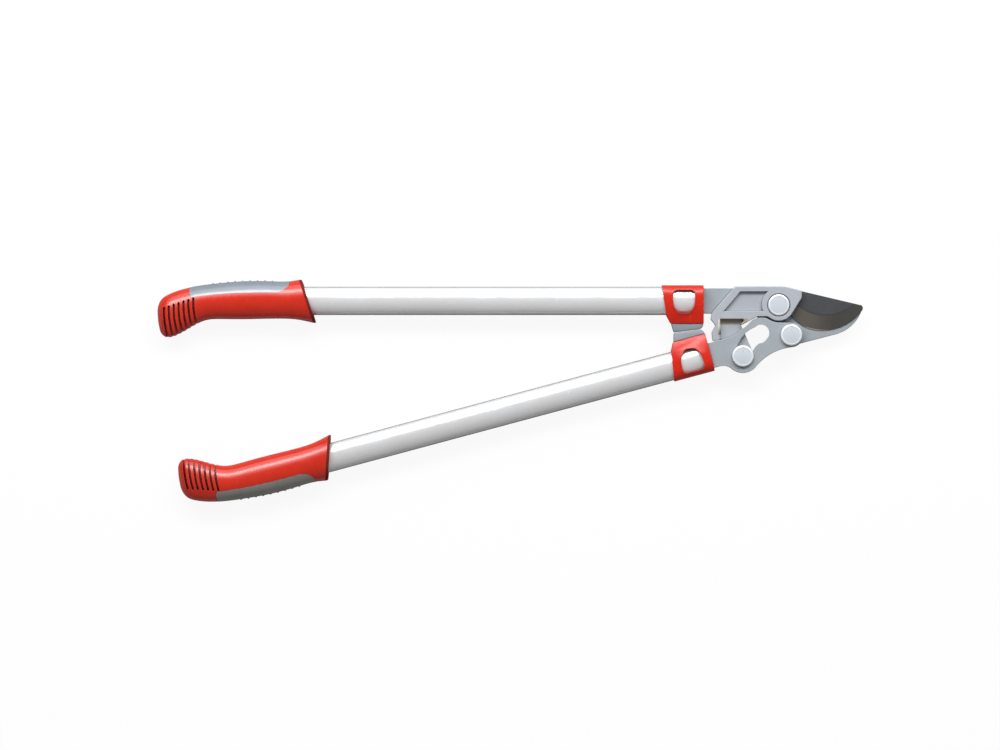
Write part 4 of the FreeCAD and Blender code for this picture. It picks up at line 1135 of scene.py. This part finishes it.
def moulded_plastic(name, turn, light, dark, wear_and_rim_light, groove, roughness, gloss, hollow_shade, lip_side=0):
    """Glossy moulded plastic: cloudy dye, a faint mould texture, pale edges that are wear and in part a
    painted rim highlight, and painted shade in grooves and close corners.
    """
    plastic = Finish(name, turn=turn, centre=HANDLE_CROSS)
    plastic.mottle(light, dark, scale=45.0, contrast=1.3)
    grain = plastic.grain(1500.0, *roughness)
    scratch = plastic.scuffs(scale=240.0, amount=0.45)
    # matte: the mask for painted shade in grooves and corners; it also dulls the coat there
    matte = plastic.hollows(*hollow_shade)
    # pale edges: wear, and in part a painted highlight along rims and window lips
    plastic.tint(plastic.edges(width=0.7, scale=160.0, patchy=0.75), wear_and_rim_light, 0.4)
    plastic.tint(scratch, wear_and_rim_light, 0.3)
    # painted shade in grooves and corners
    plastic.tint(matte, groove)
    if lip_side:
        lip = lip_shade_mask(plastic, lip_side)
        # painted shade along the recessed mouth
        plastic.tint(lip, (84, 14, 8), 0.85)
        matte = plastic.step("MAXIMUM", matte, lip)
    sheen = plastic.raised(gloss, matte, -gloss)
    plastic.fill_in(plastic.shader, Coat_Weight=sheen, Coat_Roughness=0.2, Specular_IOR_Level=0.3)
    rough = plastic.raised(plastic.raised(grain["Roughness"], scratch, 0.25), matte, 0.6)
    return plastic.close(rough, grain["Height"], strength=0.25, depth=0.06)


def soft_rubber(name, turn, tone, gloss=0.0):
    """Elastomer with a fine stipple, paler where it is rubbed, and painted shade in its corners."""
    rubber = Finish(name, turn=turn)
    darker = [value - 12 for value in tone]
    rubber.mottle(tone, darker, scale=60.0, contrast=1.5)
    rubber.tint(rubber.edges(width=1.0, scale=220.0, patchy=0.5), (188, 192, 196), 0.3)
    # painted shade in corners and creases
    rubber.tint(rubber.hollows(reach=2.0, depth=0.2), (60, 60, 60), 0.6)
    rubber.fill_in(rubber.shader, Coat_Weight=gloss, Coat_Roughness=0.22, Coat_IOR=1.9)
    stipple = rubber.grain(scale=1900.0, smoothest=0.52, roughest=0.68)
    return rubber.close(stipple["Roughness"], stipple["Height"], strength=0.5, depth=0.1)


def tube_metal(name, turn):
    """Satin anodised aluminium with drawing lines along the tube, a few scuffs, and shade painted along
    its upper and lower sides.
    """
    tube = Finish(name, metallic=0.38, turn=turn, centre=HANDLE_CROSS)
    tube.mottle((240, 241, 243), (231, 230, 229), scale=18.0, contrast=1.2)
    lines = tube.use(DRAWN, Vector=tube.place, Spacing=0.5 * MM, Stretch=160.0)
    scratch = tube.scuffs(scale=160.0, amount=0.5)
    grain = tube.grain(scale=900.0, smoothest=0.15, roughest=0.21)
    tube.tint(lines["Mask"], (205, 205, 208), 0.12)
    tube.tint(scratch, (180, 180, 182), 0.25)
    # painted shade where the skin turns away
    off_axis = tube.step("ABSOLUTE", tube.split()[1])
    tube.tint(tube.ramp_mm(off_axis, *TUBE_SIDE_SHADE), (128, 132, 139), 0.85)
    rough = tube.raised(grain["Roughness"], lines["Mask"], 0.04, clamp=False)
    rough = tube.raised(rough, scratch, 0.2)
    return tube.close(rough, lines["Height"], strength=0.12, depth=0.03)


def blasted_plate(name, light, dark):
    """Steel plate under a thin matte grey coat, rubbed bright along its edges, with shade painted where
    other parts stand close.
    """
    plate = Finish(name, metallic=0.25)
    plate.mottle(light, dark, scale=55.0, contrast=1.4)
    grain = plate.grain(scale=1400.0, smoothest=0.42, roughest=0.56)
    wear = plate.edges(width=0.5, scale=190.0, patchy=0.6)
    plate.tint(wear, (200, 204, 208), 0.15)
    plate.tint(plate.scuffs(scale=260.0, amount=0.5), (196, 200, 204), 0.35)
    # painted shade where other parts stand close
    plate.tint(plate.hollows(reach=2.4, depth=0.5), (60, 62, 66), 0.8)
    rough = plate.raised(grain["Roughness"], wear, -0.12)
    return plate.close(rough, grain["Height"], strength=0.35, depth=0.06, rounding=0.3)


# Where the carrier's painted shadow under its rib, a brownish hatched strip, and its upright leg lie in
# plan, and where the light painted on the leg's inner face grows.
SHADOW_STRIP_X, SHADOW_STRIP_Y = (-61.2, -33.0), (-20.0, -15.0)
LEG_X, LEG_Y = (-64.0, -61.3), (-31.5, -15.4)
LEG_LIGHT_Y = (-31.0, -21.0)


def cast_metal():
    """The carrier's casting: a bluish satin coat with a slight orange peel, with painted shade in its
    corners, a painted shadow under its rib, and painted light on its upright leg.
    """
    cast = Finish("cast_satin_grey", metallic=0.2)
    cast.mottle((180, 185, 192), (168, 173, 180), scale=70.0, contrast=1.2)
    cast.tint(cast.edges(width=0.6, scale=240.0, patchy=0.5), (214, 218, 222), 0.2)
    cast.tint(cast.scuffs(scale=300.0, amount=0.35), (208, 212, 216), 0.3)
    # painted shadow under the rib, brownish and hatched
    bands = {"bands_direction": "X"}
    hatch = cast.put("TexWave", bands, Vector=cast.place, Scale=420.0, Distortion=1.5).outputs["Fac"]
    bronze = cast.blend(hatch, shade(170, 165, 148), shade(148, 142, 125))
    cast.colour = cast.blend(patch_mask(cast, SHADOW_STRIP_X, SHADOW_STRIP_Y, (0.4, 1.4)), cast.colour, bronze)
    # painted light and shade on the leg's inner face: dark low down, pale higher up
    lit = cast.ramp_mm(cast.split()[1], *LEG_LIGHT_Y)
    painted_leg_light = cast.blend(lit, shade(112, 110, 100), shade(222, 223, 212))
    cast.colour = cast.blend(patch_mask(cast, LEG_X, LEG_Y, (0.3, 0.6)), cast.colour, painted_leg_light)
    # painted shade in corners
    cast.tint(cast.hollows(reach=2.2, depth=0.5), (66, 66, 70), 0.75)
    peel = cast.grain(scale=650.0, smoothest=0.34, roughest=0.46)
    return cast.close(peel["Roughness"], peel["Height"], strength=0.3, depth=0.08, rounding=0.5)


# The bevel's arcs about their centre, each from where it starts to where it is full, and the
# stretches in X over which the grinding fades in and the browning grows towards the heel.
BEVEL_CENTRE = (49.6, 36.3)
BEVEL_RADII = (46.3, 48.4)
HONED_RADII = (62.3, 63.2)
GROUND_X = (-41.0, -38.0)
BROWNED_X = (12.0, -22.0)


def blade_coat():
    """Charcoal non-stick coating, ground away along the bevel to browned steel."""
    blade = Finish("charcoal_blade", metallic=0.3, centre=BEVEL_CENTRE)
    blade.mottle((76, 77, 80), (66, 67, 70), scale=80.0, contrast=1.3)
    radius, (along, _) = blade.radius(blade.place), blade.split()
    ahead = blade.ramp_mm(along, *GROUND_X)
    ground = blade.times(blade.ramp_mm(radius, *BEVEL_RADII), ahead)
    to_heel = blade.ramp_mm(along, *BROWNED_X)
    browned = blade.blend(to_heel, shade(76, 74, 72), shade(105, 99, 91))
    rings = blade.rings(pitch=0.35, waver=1.2)
    lined = blade.blend(blade.times(rings["Mask"], 0.25), browned, shade(122, 116, 106))
    blade.colour = blade.blend(ground, blade.colour, lined)
    honed = blade.times(blade.ramp_mm(radius, *HONED_RADII), ahead)
    blade.tint(honed, (176, 174, 168))
    blade.tint(blade.edges(width=0.5, scale=260.0, patchy=0.5), (158, 158, 156), 0.7)
    blade.tint(blade.scuffs(scale=320.0, amount=0.55), (120, 120, 120), 0.25)
    grain = blade.grain(scale=1600.0, smoothest=0.36, roughest=0.5)
    rough = blade.raised(grain["Roughness"], ground, -0.06, clamp=False)
    height = blade.step("ADD", grain["Height"], blade.times(rings["Height"], ground))
    return blade.close(rough, height, strength=0.3, depth=0.04, rounding=0.3)


def bright_cap(name, centre):
    """Turned steel with a bright satin plating, rings about the cap's own axis, and a highlight painted
    along its rim.
    """
    steel = Finish(name, metallic=0.25, centre=centre)
    steel.mottle((214, 220, 226), (206, 213, 220), scale=120.0, contrast=1.2)
    rings = steel.rings(pitch=0.3, waver=0.15)
    scratch = steel.scuffs(scale=380.0, amount=0.3, place=steel.unturned)
    grain = steel.grain(scale=1500.0, smoothest=0.26, roughest=0.36)
    steel.tint(rings["Mask"], (200, 206, 213), 0.12)
    # painted highlight on the cap's rim
    rim = (CAP_RADIUS - inward for inward in RIM_HIGHLIGHT)
    rim_highlight = steel.ramp_mm(steel.radius(steel.place), *rim)
    steel.tint(rim_highlight, (240, 243, 247))
    steel.tint(scratch, (190, 192, 196), 0.3)
    rough = steel.raised(grain["Roughness"], scratch, 0.15)
    return steel.close(rough, rings["Height"], strength=0.2, depth=0.02)


# A turned metal's light and dark tones, and its range of roughness.
ZINC = ((198, 200, 204), (172, 175, 180), (0.26, 0.38))
BRONZE = ((206, 162, 104), (184, 138, 84), (0.28, 0.4))


def turned_metal(name, metal, centre=MAIN_PIVOT):
    """Zinc-plated or plain bronze turned parts: mottled plating, turning rings, rubbed corners."""
    light, dark, roughness = metal
    part = Finish(name, metallic=1.0, centre=centre)
    part.mottle(light, dark, scale=260.0, contrast=1.8)
    part.tint(part.edges(width=0.4, scale=400.0, patchy=0.5), (232, 232, 232), 0.5)
    grain, rings = part.grain(1800.0, *roughness), part.rings(pitch=0.25, waver=0.2)
    return part.close(grain["Roughness"], rings["Height"], strength=0.2, depth=0.03)


def black_plug(name, turn):
    """Black moulded nylon with a fine texture."""
    nylon = Finish(name, turn=turn)
    nylon.mottle((46, 46, 48), (32, 32, 33), scale=90.0, contrast=1.4)
    nylon.tint(nylon.edges(width=0.5, scale=260.0, patchy=0.6), (96, 96, 98), 0.4)
    grain = nylon.grain(scale=1300.0, smoothest=0.45, roughest=0.6)
    return nylon.close(grain["Roughness"], grain["Height"], strength=0.4, depth=0.08)


# The two handles' inserts and bumpers are the same parts; their tones differ only as painted light, for
# how the light falls on each handle.
INSERT_TONES_AS_LIT = {"upper": (122, 131, 140), "lower": (134, 133, 127)}
BUMPER_TONES_AS_LIT = {"upper": (134, 139, 145), "lower": (152, 157, 165)}


def handle_finishes(side, turn):
    """The finishes of one handle's pieces, with their lines along that handle."""
    grip = moulded_plastic(
        f"{side}_grip_red",
        turn,
        light=(208, 45, 20),
        dark=(194, 35, 14),
        wear_and_rim_light=(236, 120, 104),
        # groove: the colour of the shade painted into the grooves
        groove=(84, 8, 5),
        roughness=(0.2, 0.3),
        gloss=0.8,
        hollow_shade=(3.2, 0.5),
        lip_side=1 if side == "upper" else -1,
    )
    collar_red = moulded_plastic(
        f"{side}_collar_red",
        turn,
        light=(208, 40, 20),
        dark=(196, 32, 14),
        wear_and_rim_light=(238, 128, 110),
        # groove: the colour of the shade painted on the window walls and in corners
        groove=(60, 8, 5),
        roughness=(0.24, 0.34),
        gloss=0.25,
        hollow_shade=(5.0, 0.6),
    )
    return {
        f"{side}_tube": tube_metal(f"{side}_satin_aluminium", turn),
        f"{side}_grip": grip,
        f"{side}_grip_insert": soft_rubber(f"{side}_insert_grey", turn, INSERT_TONES_AS_LIT[side], gloss=0.7),
        f"{side}_collar": collar_red,
        f"{side}_bumper": soft_rubber(f"{side}_bumper_grey", turn, BUMPER_TONES_AS_LIT[side]),
        f"{side}_tang_plug": black_plug(f"{side}_plug_nylon", turn),
        f"{side}_tang_pins": tube_metal(f"{side}_pin_metal", turn),
    }


def head_finishes():
    """The finishes of the pieces at the head, by node."""
    finishes = {
        "hook_plate": blasted_plate("hook_blasted_grey", (161, 169, 174), (150, 158, 163)),
        "lever_plate": blasted_plate("lever_blasted_grey", (164, 171, 177), (154, 161, 167)),
        "blade": blade_coat(),
        "blade_carrier": cast_metal(),
        "blade_bush": turned_metal("blade_bush_bronze", BRONZE),
        "carrier_screws": turned_metal("carrier_screw_steel", ZINC),
        "main_washer": turned_metal("main_washer_zinc", ZINC),
        "lever_spacer": turned_metal("lever_spacer_zinc", ZINC, LEVER_PIVOT),
        "drive_bush": turned_metal("drive_bush_bronze", BRONZE, DRIVE_PIN),
    }
    for axle, centre in (("main", MAIN_PIVOT), ("lever", LEVER_PIVOT), ("drive", DRIVE_PIN)):
        finishes[f"{axle}_bolt"] = turned_metal(f"{axle}_bolt_zinc", ZINC, centre)
        finishes[f"{axle}_cap"] = bright_cap(f"{axle}_cap_bright", centre)
    return finishes


def dress():
    """Gives each CAD node its finish, and each piece that stands for one its finish and slot."""
    upper, lower = handle_finishes("upper", 0.0), handle_finishes("lower", HANDLE_ANGLE)
    for node, material in {**head_finishes(), **upper, **lower}.items():
        wearers = [frame["nodes"][node]]
        if node in made:
            wearers.append(made[node])
        for piece in wearers:
            piece.data.materials.clear()
            piece.data.materials.append(material)


dress()


# ---- Camera, floor and light, in metres -------------------------------------------------
VIEW_CENTRE = (-0.2958, -0.0743)
VIEW_WIDTH = 1.0625  # what the picture spans at the handles' height
VIEW_HEIGHT = 6.0
FLOOR_PLACE = (-0.3, -0.07, -0.0005)
FLOOR_SIZE = 12.0
FLOOR_GREY = (0.3, 0.9)  # how pale it is to the tool, and to the eye
FLOOR_GLOW = 0.92  # how much of what the eye sees of it is plain white
STUDIO_GREY = (0.2, 0.2, 0.205, 1.0)
LAMP_AIM = (-0.3, 0.0, 0.0)
# Each lamp's name, place, width, height, watts and colour.
LAMPS = (
    ("far_card", (-0.3, 1.55, 1.26), 3.4, 2.2, 42.0, (0.97, 0.99, 1.0)),
    ("far_strip", (-0.3, 1.34, 1.49), 3.4, 0.5, 46.0, (1.0, 1.0, 1.0)),
    ("near_card", (-0.3, -2.0, 0.9), 3.0, 0.8, 5.0, (1.0, 0.93, 0.85)),
)


def camera():
    """Straight above the tool, and far enough off that the caps hardly lean outwards."""
    bpy.ops.object.camera_add(location=(*VIEW_CENTRE, VIEW_HEIGHT + MID_Z * MM))
    eye = bpy.context.object
    eye.name = "eye"
    eye.data.sensor_width = 36.0
    eye.data.lens = eye.data.sensor_width * VIEW_HEIGHT / VIEW_WIDTH
    eye.data.clip_end = 20.0
    bpy.context.scene.camera = eye


def softbox(name, place, width, height, watts, colour):
    """A flat soft lamp that points from its place at the tool."""
    bpy.ops.object.light_add(type="AREA", location=place)
    lamp = bpy.context.object
    lamp.name = name
    lamp.data.shape = "RECTANGLE"
    lamp.data.size = width
    lamp.data.size_y = height
    lamp.data.energy = watts
    lamp.data.color = colour
    towards = Vector(LAMP_AIM) - Vector(place)
    lamp.rotation_euler = towards.to_track_quat("-Z", "Y").to_euler()
    return lamp


def floor():
    """A wide pale floor under the tool."""
    bpy.ops.mesh.primitive_plane_add(size=FLOOR_SIZE, location=FLOOR_PLACE)
    ground = named("floor")
    settle(ground)
    ground.data.materials.append(floor_paint())


def floor_paint():
    """Pale matte paint that keeps a light shadow, and shows white to the eye."""
    paint = bpy.data.materials.new("pale_floor")
    nodes = Graph(emptied(paint))
    seen = nodes.put("LightPath").outputs["Is Camera Ray"]
    matte = nodes.put("BsdfDiffuse", Color=nodes.ramp(seen, 0.0, 1.0, *FLOOR_GREY))
    glow = nodes.put("Emission", Color=WHITE, Strength=1.0)
    surface = nodes.mix_shaders(nodes.times(seen, FLOOR_GLOW), matte, glow)
    nodes.put("OutputMaterial", Surface=surface)
    return paint


def world():
    """An even grey studio, white where the eye sees it directly."""
    studio = bpy.data.worlds.new("studio")
    bpy.context.scene.world = studio
    nodes = Graph(emptied(studio))
    seen = nodes.put("LightPath").outputs["Is Camera Ray"]
    fill, white = nodes.put("Background", Color=STUDIO_GREY), nodes.put("Background", Color=WHITE)
    nodes.put("OutputWorld", Surface=nodes.mix_shaders(seen, fill, white))


def stage():
    camera()
    floor()
    world()
    lamps = {row[0]: softbox(*row) for row in LAMPS}
    lamps["near_card"].visible_glossy = False
    bpy.context.scene.view_settings.view_transform = "Standard"


stage()
